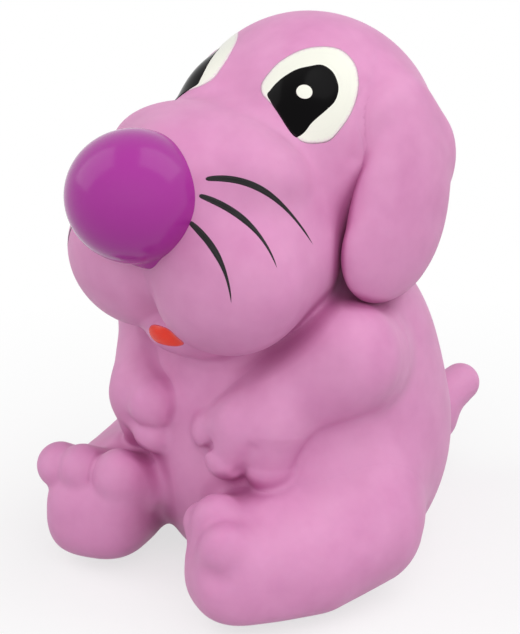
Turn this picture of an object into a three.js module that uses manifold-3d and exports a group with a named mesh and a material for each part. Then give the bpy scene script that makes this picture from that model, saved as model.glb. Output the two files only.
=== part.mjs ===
// A seated puppy of soft hollow latex that squeaks when its head is pressed down. Body, head and limbs are
// egg and sausage forms that melt into one another. The eyes, whiskers and tongue are thin coats of paint on
// the head, the nose is a glossy ball, and a squeaker is pressed into the flat base.
// The puppy faces -Y with its left side at +X. The origin is the centre of its base. Millimetres and degrees.

import * as THREE from "three";
import { mergeVertices } from "three/addons/utils/BufferGeometryUtils.js";
import Module from "manifold-3d";

// The whole toy
const gap = 0.3; // left between pieces that touch
const coatThickness = 0.4; // of a painted mark
const baseCornerRadius = 4; // where the sides turn under to the flat base
const baseDip = 0.5; // the forms reach this far below the base before it is cut flat

// Belly and chest
const bellyWidth = 57.6;
const bellyDepth = 58.8;
const bellyHeight = 66.6;
const bellyRise = 23.6; // the belly's centre above the base
const chestWidth = 50;
const chestDepth = 45.6;
const chestHeight = 40;
const chestForward = 1.4; // ahead of the belly's centre
const chestRise = 20.7; // above the belly's centre
const bodyMeltDepth = 10;

// Skull and face
const skullWidth = 50;
const skullDepth = 44;
const skullHeight = 46.8;
const skullBack = 4.7; // behind the chest's centre
const skullRise = 35.6; // above the chest's centre
const muzzleWidth = 46.8;
const muzzleDepth = 33.2;
const muzzleHeight = 36.8;
const muzzleForward = 20.8; // ahead of the skull's centre
const muzzleDrop = 13.9; // below the skull's centre
const faceMeltDepth = 10;
const bridgeWidth = 42;
const bridgeDepth = 22.4;
const bridgeHeight = 20;
const bridgeForward = 5.9; // ahead of the muzzle's centre
const bridgeRise = 14.8; // above the muzzle's centre
const bridgeMeltDepth = 8;
const lipWidth = 30; // of each of the two upper lips
const lipDepth = 24.6;
const lipHeight = 26.8;
const lipSpread = 11.6; // out from the middle
const lipForward = 11.8; // ahead of the muzzle's centre
const lipDrop = 3.5; // below the muzzle's centre
const lipMeltDepth = 7;
const jawWidth = 25;
const jawDepth = 39;
const jawHeight = 15;
const jawBack = 0.8; // behind the muzzle's centre
const jawDrop = 15.1; // below the muzzle's centre
const jawMeltDepth = 1.5;
const browWidth = 17.2; // of the swelling under each eye
const browDepth = 15;
const browHeight = 22;
const browSpread = 8; // out from the middle
const browForward = 12.8; // ahead of the skull's centre
const browRise = 6.4; // above the skull's centre
const browLean = 20; // its top leans back
const browMeltDepth = 3;

// Nose
const noseDiameter = 23.4;
const noseForward = 23.5; // ahead of the muzzle's centre
const noseRise = 11.8; // above the muzzle's centre
const noseDripWidth = 6; // the little lobe that runs down to the lips
const noseDripHeight = 7;
const noseMeltDepth = 1;

// Ears
const earThickness = 8.8;
const earTopDiameter = 23.2;
const earTipDiameter = 22.8;
const earDrop = 16.5; // from the centre of its round top to that of its round tip
const earSweep = 5.3; // the tip hangs this far ahead of the top
const earSpread = 24.2; // out from the middle
const earForward = 0.4; // ahead of the skull's centre
const earRise = 1.1; // above the skull's centre

// Arms
const shoulderDiameter = 22;
const shoulderSpread = 20.2; // out from the middle
const shoulderForward = 5.8; // ahead of the chest's centre
const elbowDiameter = 18.6;
const elbowSpread = 22.6; // out from the middle
const elbowForward = 4.2; // ahead of the shoulder
const elbowRise = 1.8; // above the chest's centre
const handDiameter = 14.6;
const handSpread = 14.7; // out from the middle
const handForward = 14.2; // ahead of the elbow
const handDrop = 12.4; // below the elbow
const fingerDiameter = 9.4;
const armMeltDepth = 4;
// Each finger's centre from the hand's, in hand diameters: outwards, back and up.
const fingerShares = [
  [-0.42, -0.27, 0],
  [-0.34, -0.15, -0.26],
  [-0.06, 0.1, -0.51],
];

// Legs
const hipDiameter = 23.6;
const hipSpread = 24.8; // out from the middle
const hipForward = 9.5; // ahead of the belly's centre
const hipRise = 12.2; // above the base
const ankleDiameter = 18.2;
const ankleSpread = 23.8; // out from the middle
const ankleForward = 13.3; // ahead of the hip
const ankleRise = 7.8; // above the base, so that the heel rests on it
const footWidth = 22.2;
const footDepth = 21.6;
const footHeight = 17.2;
const footSpread = 19.3; // out from the middle
const footForward = 10.6; // ahead of the ankle
const footRise = 8.6; // above the base
const toeDiameter = 9.2;
const legMeltDepth = 4;
// Each toe's centre from the foot's, in foot widths, depths and heights: outwards, back and up.
const toeShares = [
  [0.24, -0.27, 0.58],
  [-0.06, -0.2, 0.63],
  [-0.33, -0.13, 0.62],
];

// Tail
const tailRootDiameter = 12; // of the ball that turns in its socket
const tailTipDiameter = 8.2;
const tailBack = 27; // its root behind the belly's centre
const tailDrop = 11.8; // its root below the belly's centre
const tailReach = 21.6; // its tip behind its root
const tailLift = 6.8; // and above it
const tailBend = 15; // it can be bent this far up

// Eyes, painted on the brow
const eyeWidth = 17.3;
const eyeHeight = 19.1;
const pupilWidth = 12.7;
const pupilHeight = 14.2;
const glintDiameter = 2.9;
const eyeYaw = 51; // the eye looks this far out from straight ahead
const eyePitch = 48; // and this far up
// The outlines, in widths outwards and heights up from the brow's centre as the eye looks at us.
const eyeShares = [
  [-0.35, 0.22], [-0.15, 0.44], [0.07, 0.53], [0.28, 0.55], [0.48, 0.51], [0.61, 0.36], [0.64, 0.16],
  [0.6, -0.02], [0.52, -0.17], [0.4, -0.3], [0.28, -0.4], [0.13, -0.44], [0, -0.44], [-0.08, -0.38],
  [-0.2, -0.19], [-0.32, 0], [-0.37, 0.11],
];
const pupilShares = [
  [-0.43, 0.06], [-0.37, 0.15], [-0.22, 0.28], [0, 0.39], [0.2, 0.44], [0.37, 0.45], [0.5, 0.36],
  [0.57, 0.22], [0.57, 0.07], [0.5, -0.08], [0.35, -0.22], [0.16, -0.37], [0.04, -0.49], [-0.06, -0.54],
  [-0.15, -0.48], [-0.27, -0.28],
];
const glintPlaceShares = [0.08, 0.02]; // in pupil widths and heights

// Whiskers, painted on the lips
const whiskerField = 20; // the patch of lip that the strokes share
const whiskerWidth = 1.7;
const whiskerYaw = 45; // the patch faces this far out from straight ahead
const whiskerPitch = 21; // and this far up
const whiskerPatchRise = 3.6; // the patch's centre above the muzzle's
// Start, bend and end of each stroke, in fields outwards and up.
const whiskerShares = [
  [[-0.195, 0.505], [0.352, 0.567], [0.73, -0.04]],
  [[-0.25, 0.365], [0.257, 0.197], [0.415, -0.26]],
  [[-0.335, 0.14], [-0.005, -0.15], [0.025, -0.56]],
];
// The stroke's width along its length, in whisker widths: thick near the nose, drawn out to a point.
const strokeWidthShares = [0.25, 0.85, 1, 0.95, 0.8, 0.6, 0.38, 0.12];

// Tongue, painted on the jaw
const tongueWidth = 8;
const tongueHeight = 3.4;
const tongueAside = 1.4; // the paint sits a little to the puppy's left

// Squeaker, pressed into the base
const squeakerDiameter = 18;
const squeakerHeight = 11; // from the face of its flange to its rim
const squeakerRecess = 1; // its face lies this far inside the base
const squeakerWall = 1.2;
const flangeDiameter = 22;
const airHoleDiameter = 2.4;
const ventDiameter = 6; // in the cap, towards the hollow of the toy
const seatLength = 9;
const seatWidth = 5.4;
const seatHeight = 5;
const seatGrooveWidth = 2.4;
const reedLength = 8.4;
const reedWidth = 3.4;
const reedThickness = 0.5;
const reedStop = 2; // the reed is clamped this far from the seat's back end
const clampHeight = 1.6;

// Fineness of the surfaces: cuts in each edge of the balls that they start from, and steps of the search
const headSegments = 7;
const torsoSegments = 7;
const legSegments = 4;
const armSegments = 4;
const earSegments = 3;
const noseSegments = 5;
const tailSegments = 3;
const lobeSegments = 2;
const marchSteps = 96;
const halvings = 24;
const turnedSides = 24;
const curvePoints = 2; // for each point of a painted outline

const wasm = await Module();
wasm.setup();

const at = (x, y, z) => new THREE.Vector3(x, y, z);
const radians = THREE.MathUtils.degToRad;

// Places of the forms
const belly = at(0, 0, bellyRise);
const chest = at(0, belly.y - chestForward, belly.z + chestRise);
const skull = at(0, chest.y + skullBack, chest.z + skullRise);
const muzzle = at(0, skull.y - muzzleForward, skull.z - muzzleDrop);
const brow = at(browSpread, skull.y - browForward, skull.z + browRise);
const jaw = at(0, muzzle.y + jawBack, muzzle.z - jawDrop);
const nose = at(0, muzzle.y - noseForward, muzzle.z + noseRise);
const earTop = at(earSpread, skull.y - earForward, skull.z + earRise);
const earTip = at(earSpread, earTop.y - earSweep, earTop.z - earDrop);
const shoulder = at(shoulderSpread, chest.y - shoulderForward, chest.z);
const elbow = at(elbowSpread, shoulder.y - elbowForward, chest.z + elbowRise);
const hand = at(handSpread, elbow.y - handForward, elbow.z - handDrop);
const hip = at(hipSpread, belly.y - hipForward, hipRise);
const ankle = at(ankleSpread, hip.y - ankleForward, ankleRise);
const foot = at(footSpread, ankle.y - footForward, footRise);
const tailRoot = at(0, belly.y + tailBack, belly.z - tailDrop);
const tailTip = at(0, tailRoot.y + tailReach, tailRoot.z + tailLift);
const reach = bellyHeight + skullHeight; // further than any form lies from its heart

// A form is a function of a point: below zero inside, and outside about the distance to its surface.

/** An egg with its centre, its full width, depth and height, and its lean about X. */
function egg(centre, width, depth, height, lean = 0) {
  const half = at(width, depth, height).divideScalar(2);
  const upright = new THREE.Quaternion().setFromAxisAngle(at(1, 0, 0), radians(lean));
  return (point) => {
    const inHalves = point.clone().sub(centre).applyQuaternion(upright).divide(half);
    const reach = inHalves.length();
    const slope = inHalves.divide(half).length();
    return slope > 0 ? (reach * (reach - 1)) / slope : -Math.min(half.x, half.y, half.z);
  };
}

/** A sausage from one ball to another, flattened across X to a share of its roundness. */
function sausage(from, to, fromDiameter, toDiameter, flatShare = 1) {
  const along = to.clone().sub(from);
  const flat = (vector) => at(vector.x / flatShare, vector.y, vector.z);
  const run = flat(along);
  return (point) => {
    const offset = flat(point.clone().sub(from));
    const share = THREE.MathUtils.clamp(offset.dot(run) / run.lengthSq(), 0, 1);
    const radius = THREE.MathUtils.lerp(fromDiameter, toDiameter, share) / 2;
    const out = offset.addScaledVector(run, -share);
    const distance = out.length();
    const slope = distance > 0 ? flat(out).length() / distance : 1;
    return (distance - radius) / slope;
  };
}

/** Forms joined with a soft valley between them. */
function melt(depth, ...forms) {
  return (point) =>
    forms
      .map((form) => form(point))
      .reduce((a, b) => {
        const overlap = Math.max(depth - Math.abs(a - b), 0);
        return Math.min(a, b) - (overlap * overlap) / (4 * depth);
      });
}

/** A form and its mirror image across the middle of the toy. */
function paired(form) {
  return (point) => form(at(Math.abs(point.x), point.y, point.z));
}

/** A form whose sides turn under to the base. */
function seated(form) {
  const turned = melt(baseCornerRadius, (point) => -form(point), (point) => point.z + baseDip);
  return (point) => -turned(point);
}

const shifted = (centre, [outShare, backShare, upShare], width, depth, height) =>
  centre.clone().add(at(outShare * width, backShare * depth, upShare * height));

const torsoForm = seated(
  melt(
    bodyMeltDepth,
    egg(belly, bellyWidth, bellyDepth, bellyHeight),
    egg(chest, chestWidth, chestDepth, chestHeight),
  ),
);

const upperLip = at(lipSpread, muzzle.y - lipForward, muzzle.z - lipDrop);
const bridge = at(0, muzzle.y - bridgeForward, muzzle.z + bridgeRise);
const muzzleForm = melt(
  lipMeltDepth,
  melt(
    bridgeMeltDepth,
    egg(muzzle, muzzleWidth, muzzleDepth, muzzleHeight),
    egg(bridge, bridgeWidth, bridgeDepth, bridgeHeight),
  ),
  egg(upperLip, lipWidth, lipDepth, lipHeight),
);
const headForm = paired(
  melt(
    browMeltDepth,
    melt(
      jawMeltDepth,
      melt(faceMeltDepth, egg(skull, skullWidth, skullDepth, skullHeight), muzzleForm),
      egg(jaw, jawWidth, jawDepth, jawHeight),
    ),
    egg(brow, browWidth, browDepth, browHeight, browLean),
  ),
);

const noseDrip = at(0, nose.y + noseDripWidth / 2, nose.z - noseDiameter / 2);
const noseForm = melt(
  noseMeltDepth,
  egg(nose, noseDiameter, noseDiameter, noseDiameter),
  egg(noseDrip, noseDripWidth, noseDripWidth, noseDripHeight),
);

const earFlatShare = (2 * earThickness) / (earTopDiameter + earTipDiameter);
const earForm = sausage(earTop, earTip, earTopDiameter, earTipDiameter, earFlatShare);

const armForm = melt(
  armMeltDepth,
  sausage(shoulder, elbow, shoulderDiameter, elbowDiameter),
  sausage(elbow, hand, elbowDiameter, handDiameter),
);
const fingers = fingerShares.map((shares) => shifted(hand, shares, handDiameter, handDiameter, handDiameter));

const legForm = seated(
  melt(
    legMeltDepth,
    sausage(hip, ankle, hipDiameter, ankleDiameter),
    egg(foot, footWidth, footDepth, footHeight),
  ),
);
const toes = toeShares.map((shares) => shifted(foot, shares, footWidth, footDepth, footHeight));

const tailForm = (bend = 0) => {
  const bent = tailTip.clone().sub(tailRoot).applyAxisAngle(at(1, 0, 0), radians(bend)).add(tailRoot);
  return sausage(tailRoot, bent, tailRootDiameter, tailTipDiameter);
};

/** A closed geometry as a solid that can be joined and cut. */
function solidOf(geometry) {
  const bare = geometry.clone();
  bare.deleteAttribute("normal");
  bare.deleteAttribute("uv");
  const merged = mergeVertices(bare);
  return new wasm.Manifold(
    new wasm.Mesh({
      numProp: 3,
      vertProperties: merged.attributes.position.array,
      triVerts: new Uint32Array(merged.index.array),
    }),
  );
}

/** The surface of a form, grown outwards: a ball whose points slide towards the heart until they meet it. */
function skin(form, heart, segments, grow = 0, stretchShares = [1, 1, 1]) {
  const ball = new THREE.IcosahedronGeometry(1, segments);
  const places = ball.attributes.position;
  const depthAt = (ray, distance) => form(heart.clone().addScaledVector(ray, distance)) - grow;
  for (let i = 0; i < places.count; i += 1) {
    const ray = new THREE.Vector3().fromBufferAttribute(places, i).multiply(at(...stretchShares)).normalize();
    let outside = reach;
    let inside = reach;
    while (inside > 0 && depthAt(ray, inside) > 0) {
      outside = inside;
      inside -= reach / marchSteps;
    }
    for (let halving = 0; halving < halvings; halving += 1) {
      const middle = (outside + inside) / 2;
      if (depthAt(ray, middle) > 0) outside = middle;
      else inside = middle;
    }
    const found = heart.clone().addScaledVector(ray, inside);
    places.setXYZ(i, found.x, found.y, found.z);
  }
  return solidOf(ball);
}

/** A geometry moved to a place. */
function placed(geometry, centre) {
  return solidOf(geometry.translate(centre.x, centre.y, centre.z));
}

/** A ball. */
function ball(centre, diameter) {
  return placed(new THREE.IcosahedronGeometry(diameter / 2, lobeSegments), centre);
}

/** A limb with fingers or toes that spring from one root, all grown outwards. */
function lobed(limb, root, tips, diameter, grow) {
  return tips.reduce((solid, tip) => {
    const lobe = sausage(root, tip, diameter, diameter);
    return solid.add(skin(lobe, root.clone().lerp(tip, 0.5), lobeSegments, grow));
  }, limb);
}

/** An upright round bar from one height to another. */
function post(diameter, bottom, top, x = 0, y = 0) {
  const bar = new THREE.CylinderGeometry(diameter / 2, diameter / 2, top - bottom, turnedSides);
  return placed(bar.rotateX(Math.PI / 2), at(x, y, (bottom + top) / 2));
}

/** A rectangular block given by its low and high corners. */
function block(low, high) {
  const size = high.clone().sub(low);
  return placed(new THREE.BoxGeometry(size.x, size.y, size.z), low.clone().add(high).divideScalar(2));
}

const aboveBase = block(at(-reach, -reach, 0), at(reach, reach, reach));

// Bodies and limbs of the left side, each cut by the larger ones

const headHeart = muzzle.clone().lerp(skull, 0.5);
const torsoHeart = belly.clone().lerp(chest, 0.4);
const armHeart = elbow.clone().lerp(hand, 0.4);
const earHeart = earTop.clone().lerp(earTip, 0.5);
const limbStretchShares = [1, 1.3, 1];
const earStretchShares = [0.5, 1, 1.4];
const tailStretchShares = [0.5, 1.4, 0.5];

const boreTop = squeakerRecess + squeakerHeight + 2 * squeakerWall + 2 * gap;
const squeakerBore = post(squeakerDiameter + 2 * gap, -baseDip, boreTop).add(
  post(flangeDiameter + 2 * gap, -baseDip, squeakerRecess + squeakerWall + gap),
);

const torsoSkin = (grow) => skin(torsoForm, torsoHeart, torsoSegments, grow);
const headSkin = (grow) => skin(headForm, headHeart, headSegments, grow);
const armSkin = (grow) => {
  const arm = skin(armForm, armHeart, armSegments, grow, limbStretchShares);
  return lobed(arm, hand, fingers, fingerDiameter, grow);
};
const legSkin = (grow) => {
  const leg = skin(legForm, ankle, legSegments, grow, limbStretchShares);
  return lobed(leg, foot, toes, toeDiameter, grow);
};
const noseSkin = (grow) => skin(noseForm, nose, noseSegments, grow);
const tailSkin = (grow, heart, bend) => skin(tailForm(bend), heart, tailSegments, grow, tailStretchShares);
const torsoClear = torsoSkin(gap);
const headClear = headSkin(gap);

const torso = torsoSkin(0)
  .intersect(aboveBase)
  .subtract(squeakerBore)
  .subtract(ball(tailRoot, tailRootDiameter + 2 * gap))
  .subtract(tailSkin(gap, tailRoot, 0))
  .subtract(tailSkin(gap, tailRoot, tailBend));
const head = headSkin(0).subtract(torsoClear);
const leg = legSkin(0).intersect(aboveBase).subtract(torsoClear);
const arm = armSkin(0).subtract(torsoClear).subtract(headClear).subtract(legSkin(gap));
const ear = skin(earForm, earHeart, earSegments, 0, earStretchShares)
  .subtract(headClear)
  .subtract(torsoClear)
  .subtract(armSkin(gap));
const noseBall = noseSkin(0).subtract(headClear);
const behindRoot = block(at(-reach, tailRoot.y, -reach), at(reach, reach, reach));
const tail = tailSkin(0, tailTip, 0)
  .intersect(behindRoot)
  .subtract(torsoClear)
  .add(ball(tailRoot, tailRootDiameter));

// Painted marks

/** A smooth closed outline through points given in shares of a width and a height, widened all round. */
function outline(shares, width, height, margin = 0) {
  const spread = (share, size) => share * (size + 2 * margin);
  const points = shares.map(([out, up]) => at(spread(out, width), spread(up, height), 0));
  const curve = new THREE.CatmullRomCurve3(points, true).getPoints(shares.length * curvePoints);
  return new THREE.Shape(curve.map((point) => new THREE.Vector2(point.x, point.y)));
}

/** A round outline about a place. */
function round(x, y, diameter) {
  return new THREE.Shape().absarc(x, y, diameter / 2, 0, 2 * Math.PI);
}

/** A brush stroke along a bent line, swelling and tapering as its shares say. */
function stroke([from, bend, to]) {
  const field = ([out, up]) => new THREE.Vector2(out * whiskerField, up * whiskerField);
  const line = new THREE.QuadraticBezierCurve(field(from), field(bend), field(to));
  const last = strokeWidthShares.length - 1;
  const edge = (side) =>
    strokeWidthShares.map((share, i) => {
      const tangent = line.getTangent(i / last);
      const across = new THREE.Vector2(-tangent.y, tangent.x);
      return line.getPoint(i / last).addScaledVector(across, (side * share * whiskerWidth) / 2);
    });
  return new THREE.Shape([...edge(-1), ...edge(1).reverse()]);
}

/** An outline drawn out into a bar that leaves a heart inside the head, in the direction of a gaze. */
function gaze(shape, heart, yaw, pitch) {
  const flatShare = Math.cos(radians(pitch));
  const ahead = at(
    Math.sin(radians(yaw)) * flatShare,
    -Math.cos(radians(yaw)) * flatShare,
    Math.sin(radians(pitch)),
  );
  const out = at(Math.cos(radians(yaw)), Math.sin(radians(yaw)), 0);
  const frame = new THREE.Matrix4().makeBasis(out, ahead.clone().cross(out), ahead).setPosition(heart);
  const bar = new THREE.ExtrudeGeometry(shape, { depth: reach, bevelEnabled: false, steps: 1 });
  return solidOf(bar.applyMatrix4(frame));
}

const coat = headSkin(gap + coatThickness).subtract(headClear).subtract(noseSkin(gap));
const eyeBar = (shape) => gaze(shape, brow, eyeYaw, eyePitch);
const [glintOutShare, glintUpShare] = glintPlaceShares;
const glintAt = (margin) =>
  round(glintOutShare * pupilWidth, glintUpShare * pupilHeight, glintDiameter + 2 * margin);

const eyeWhite = coat
  .intersect(eyeBar(outline(eyeShares, eyeWidth, eyeHeight)))
  .subtract(eyeBar(outline(pupilShares, pupilWidth, pupilHeight, gap)));
const pupil = coat
  .intersect(eyeBar(outline(pupilShares, pupilWidth, pupilHeight)))
  .subtract(eyeBar(glintAt(gap)));
const glint = coat.intersect(eyeBar(glintAt(0)));

const whiskerPatch = at(lipSpread, upperLip.y, muzzle.z + whiskerPatchRise);
const whiskers = whiskerShares.map((shares) =>
  coat.intersect(gaze(stroke(shares), whiskerPatch, whiskerYaw, whiskerPitch)),
);

const tongueShares = [
  [-0.5, 0.1], [-0.35, 0.45], [0, 0.5], [0.35, 0.3], [0.5, -0.1], [0.35, -0.4], [0, -0.5], [-0.35, -0.4],
];
const tongueHeart = at(tongueAside, jaw.y, jaw.z);
const tongue = coat.intersect(gaze(outline(tongueShares, tongueWidth, tongueHeight), tongueHeart, 0, 0));

// Squeaker: a cup with an air hole in its face, a reed clamped on a grooved seat, and a cap with a vent

const cupFace = squeakerRecess;
const cupFloor = cupFace + squeakerWall;
const cupRim = cupFace + squeakerHeight;
const cupInside = squeakerDiameter - 2 * squeakerWall;
const squeakerCup = post(squeakerDiameter, cupFace, cupRim)
  .add(post(flangeDiameter, cupFace, cupFloor))
  .subtract(post(cupInside, cupFloor, cupRim + squeakerWall))
  .subtract(post(airHoleDiameter, cupFace - gap, cupFloor + gap));

const capBottom = cupRim + gap;
const squeakerCap = post(squeakerDiameter, capBottom, capBottom + squeakerWall).subtract(
  post(ventDiameter, capBottom - gap, capBottom + squeakerWall + gap),
);

const seatBottom = cupFloor + gap;
const seatTop = seatBottom + seatHeight;
const seatBack = seatLength / 2;
const grooveFront = -seatBack - gap;
const reedSeat = block(at(-seatWidth / 2, -seatBack, seatBottom), at(seatWidth / 2, seatBack, seatTop))
  .subtract(
    block(
      at(-seatGrooveWidth / 2, grooveFront, seatTop - seatGrooveWidth),
      at(seatGrooveWidth / 2, seatBack - reedStop, seatTop + gap),
    ),
  )
  .subtract(post(airHoleDiameter, seatBottom - gap, seatTop));

const reedBottom = seatTop + gap;
const reedTop = reedBottom + reedThickness;
const reedBack = seatBack - reedStop / 2;
const reed = block(
  at(-reedWidth / 2, reedBack - reedLength, reedBottom),
  at(reedWidth / 2, reedBack, reedTop),
);

// The clamp is a small staple over the back of the reed, part of its seat.
const clampBack = seatBack;
const clampFront = seatBack - reedStop;
const clampInside = reedWidth / 2 + gap;
const clampTop = reedTop + gap + clampHeight / 2;
const clamp = block(at(-seatWidth / 2, clampFront, seatTop), at(seatWidth / 2, clampBack, clampTop)).subtract(
  block(at(-clampInside, clampFront - gap, seatTop), at(clampInside, reedBack + gap, reedTop + gap)),
);
const squeakerSeat = reedSeat.add(clamp);

// Materials

const finish = (color, roughness) => new THREE.MeshStandardMaterial({ color, roughness, metalness: 0 });
const pinkLatex = { color: 0xd68fc0, roughness: 0.48 };
const purpleGloss = { color: 0xa0358f, roughness: 0.18 };
const whitePaint = { color: 0xeeefe4, roughness: 0.3 };
const blackPaint = { color: 0x14100f, roughness: 0.2 };
const redPaint = { color: 0xe8301a, roughness: 0.28 };
const whitePlastic = { color: 0xe9e6de, roughness: 0.4 };
const reedPlastic = { color: 0xd9c9a0, roughness: 0.35 };

/** A solid as a named mesh, mirrored across the middle of the toy where asked. */
function piece(name, solid, { color, roughness }, mirrored = false) {
  const { numProp, vertProperties, triVerts } = solid.getMesh();
  const places = new THREE.InterleavedBuffer(vertProperties, numProp);
  const indexed = new THREE.BufferGeometry()
    .setAttribute("position", new THREE.InterleavedBufferAttribute(places, 3, 0))
    .setIndex(new THREE.BufferAttribute(triVerts, 1));
  const geometry = indexed.toNonIndexed();
  geometry.computeVertexNormals();
  const mesh = new THREE.Mesh(geometry, finish(color, roughness));
  mesh.name = name;
  if (mirrored) mesh.scale.x = -1;
  return mesh;
}

/** The left piece and its mirror image on the right. */
function pair(name, solid, paint, suffix = "") {
  return [piece(`${name}_left${suffix}`, solid, paint), piece(`${name}_right${suffix}`, solid, paint, true)];
}

const body = new THREE.Group();
body.add(piece("torso", torso, pinkLatex), ...pair("arm", arm, pinkLatex), ...pair("leg", leg, pinkLatex));
body.add(piece("tail", tail, pinkLatex));

const face = new THREE.Group();
face.add(piece("head", head, pinkLatex), ...pair("ear", ear, pinkLatex));
face.add(piece("nose", noseBall, purpleGloss));
face.add(...pair("eye_white", eyeWhite, whitePaint), ...pair("pupil", pupil, blackPaint));
face.add(...pair("glint", glint, whitePaint), piece("tongue", tongue, redPaint));
whiskers.forEach((whisker, i) => face.add(...pair("whisker", whisker, blackPaint, `_${i + 1}`)));

const squeaker = new THREE.Group();
squeaker.add(piece("squeaker_cup", squeakerCup, whitePlastic));
squeaker.add(piece("squeaker_seat", squeakerSeat, whitePlastic));
squeaker.add(piece("squeaker_reed", reed, reedPlastic));
squeaker.add(piece("squeaker_cap", squeakerCap, whitePlastic));

const puppy = new THREE.Group();
puppy.add(body, face, squeaker);

export default puppy;
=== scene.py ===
"""Looks of a soft latex puppy: smooth skins, thin coats of paint, a glossy nose and a squeaker in the base.

The skins are surfaces of smooth fields. Each limb's field melts into its neighbours', and each piece dips
under the next one along a soft line, so that the pieces are closed by themselves and meet without a seam.
The puppy faces -Y and its left side is at +X. Sizes are in millimetres until a mesh is made.
"""
import logging
import math
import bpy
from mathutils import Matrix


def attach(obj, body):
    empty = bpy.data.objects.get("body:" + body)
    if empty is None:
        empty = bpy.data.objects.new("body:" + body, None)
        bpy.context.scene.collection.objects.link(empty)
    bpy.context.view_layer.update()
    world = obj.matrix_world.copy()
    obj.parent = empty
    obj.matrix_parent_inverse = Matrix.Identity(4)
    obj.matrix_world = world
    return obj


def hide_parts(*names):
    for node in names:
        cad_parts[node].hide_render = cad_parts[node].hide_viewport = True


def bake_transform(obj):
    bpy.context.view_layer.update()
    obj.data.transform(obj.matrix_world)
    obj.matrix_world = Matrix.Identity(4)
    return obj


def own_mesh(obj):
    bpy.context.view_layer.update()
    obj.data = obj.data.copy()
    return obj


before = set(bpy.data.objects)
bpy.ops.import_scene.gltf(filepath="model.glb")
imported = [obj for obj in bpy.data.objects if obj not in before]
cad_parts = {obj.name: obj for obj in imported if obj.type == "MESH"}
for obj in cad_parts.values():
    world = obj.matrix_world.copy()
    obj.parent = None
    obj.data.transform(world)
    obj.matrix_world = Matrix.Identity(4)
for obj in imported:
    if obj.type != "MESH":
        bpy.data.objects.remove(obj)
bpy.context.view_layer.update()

from concurrent.futures import ThreadPoolExecutor
from dataclasses import dataclass
from enum import Enum
from functools import partial
from typing import Callable, Iterable, Sequence

import bpy
import numpy as np
from mathutils import Matrix, Vector

MM = 0.001
THREADS = 4
CHUNK = 200_000
NEAR_ZERO = 1e-9

logging.basicConfig(level=logging.INFO, format="%(name)s: %(message)s")
log = logging.getLogger("puppy")

Pair = tuple[float, float]
Triple = tuple[float, float, float]
Outline = tuple[Pair, ...]
Points = np.ndarray
Values = np.ndarray
Quads = np.ndarray
Field = Callable[[Points], Values]
Node = bpy.types.Node
Piece = bpy.types.Object
Socket = bpy.types.NodeSocket
Tree = bpy.types.NodeTree

MIRROR = np.array([-1, 1, 1])


# Fields


def smoothstep(value: Values, low: float, high: float) -> Values:
    """A soft step from 0 at low to 1 at high."""
    share = np.clip((value - low) / (high - low), 0, 1)
    return share * share * (3 - 2 * share)


def melt(depth: float | Values, first: Values, *others: Values) -> Values:
    """Joins fields with a soft valley.

    Args:
        depth: how far the valley reaches, in millimetres.
        first: the first field's values.
        others: the other fields' values.

    Returns:
        The joined field's values.
    """
    joined = first
    for other in others:
        overlap = np.maximum(depth - np.abs(joined - other), 0)
        joined = np.minimum(joined, other) - overlap * overlap / (4 * depth)
    return joined


def trimmed(depth: float, form: Values, cutter: Values) -> Values:
    """Keeps what lies in both fields, with a rounded edge."""
    return -melt(depth, -form, -cutter)


def mirrored(points: Points) -> Points:
    """The points folded onto the puppy's left side."""
    return np.where([True, False, False], np.abs(points), points)


@dataclass(frozen=True)
class Egg:
    """An egg form.

    Attributes:
        centre: its middle.
        size: its full width, depth and height.
        lean: degrees that its top leans back.
        turn: degrees that its front turns in, towards the middle of the puppy.
        square: 2 for a round egg, and more for one with fuller corners.
        core: a small share that keeps its middle from having no slope.
    """

    centre: Triple
    size: Triple
    lean: float = 0.0
    turn: float = 0.0
    square: float = 2.0
    core: float = 1e-6

    def __call__(self, points: Points) -> Values:
        """The distance of each point from the surface, below zero inside.

        Args:
            points: where to work it out.

        Returns:
            The distances.
        """
        half = np.array(self.size) / 2
        offset = points - np.array(self.centre)
        if self.lean or self.turn:
            lean = Matrix.Rotation(math.radians(self.lean), 3, "X")
            turn = Matrix.Rotation(math.radians(self.turn), 3, "Z")
            offset = offset @ np.array(lean @ turn).T
        scaled = np.abs(offset / half) + self.core
        rising = scaled ** (self.square - 1)
        reach = np.einsum("ij,ij->i", scaled, rising) ** (1 / self.square)
        slope = np.sqrt(np.einsum("ij,ij->i", rising / half, rising / half)) * reach ** (1 - self.square)
        return (reach - 1) / slope


@dataclass(frozen=True)
class Sausage:
    """A form from one ball to another.

    Attributes:
        start: the first ball's centre.
        end: the second ball's centre.
        start_diameter: the first ball's diameter.
        end_diameter: the second ball's diameter.
        flat_share: its thickness across X as a share of its roundness.
    """

    start: Triple
    end: Triple
    start_diameter: float
    end_diameter: float
    flat_share: float = 1.0

    def __call__(self, points: Points) -> Values:
        """The distance of each point from the surface, below zero inside.

        Args:
            points: where to work it out.

        Returns:
            The distances.
        """
        flat = np.array([1 / self.flat_share, 1, 1])
        run = (np.array(self.end) - np.array(self.start)) * flat
        offset = (points - np.array(self.start)) * flat
        share = np.clip(offset @ run / (run @ run), 0, 1)
        radius = (self.start_diameter + (self.end_diameter - self.start_diameter) * share) / 2
        out = offset - share[:, None] * run
        distance = np.sqrt(np.einsum("ij,ij->i", out, out))
        if self.flat_share == 1:
            return distance - radius
        steepness = np.sqrt(np.einsum("ij,ij->i", out * flat, out * flat))
        return (distance - radius) / np.maximum(steepness / np.maximum(distance, NEAR_ZERO), 1)


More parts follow.
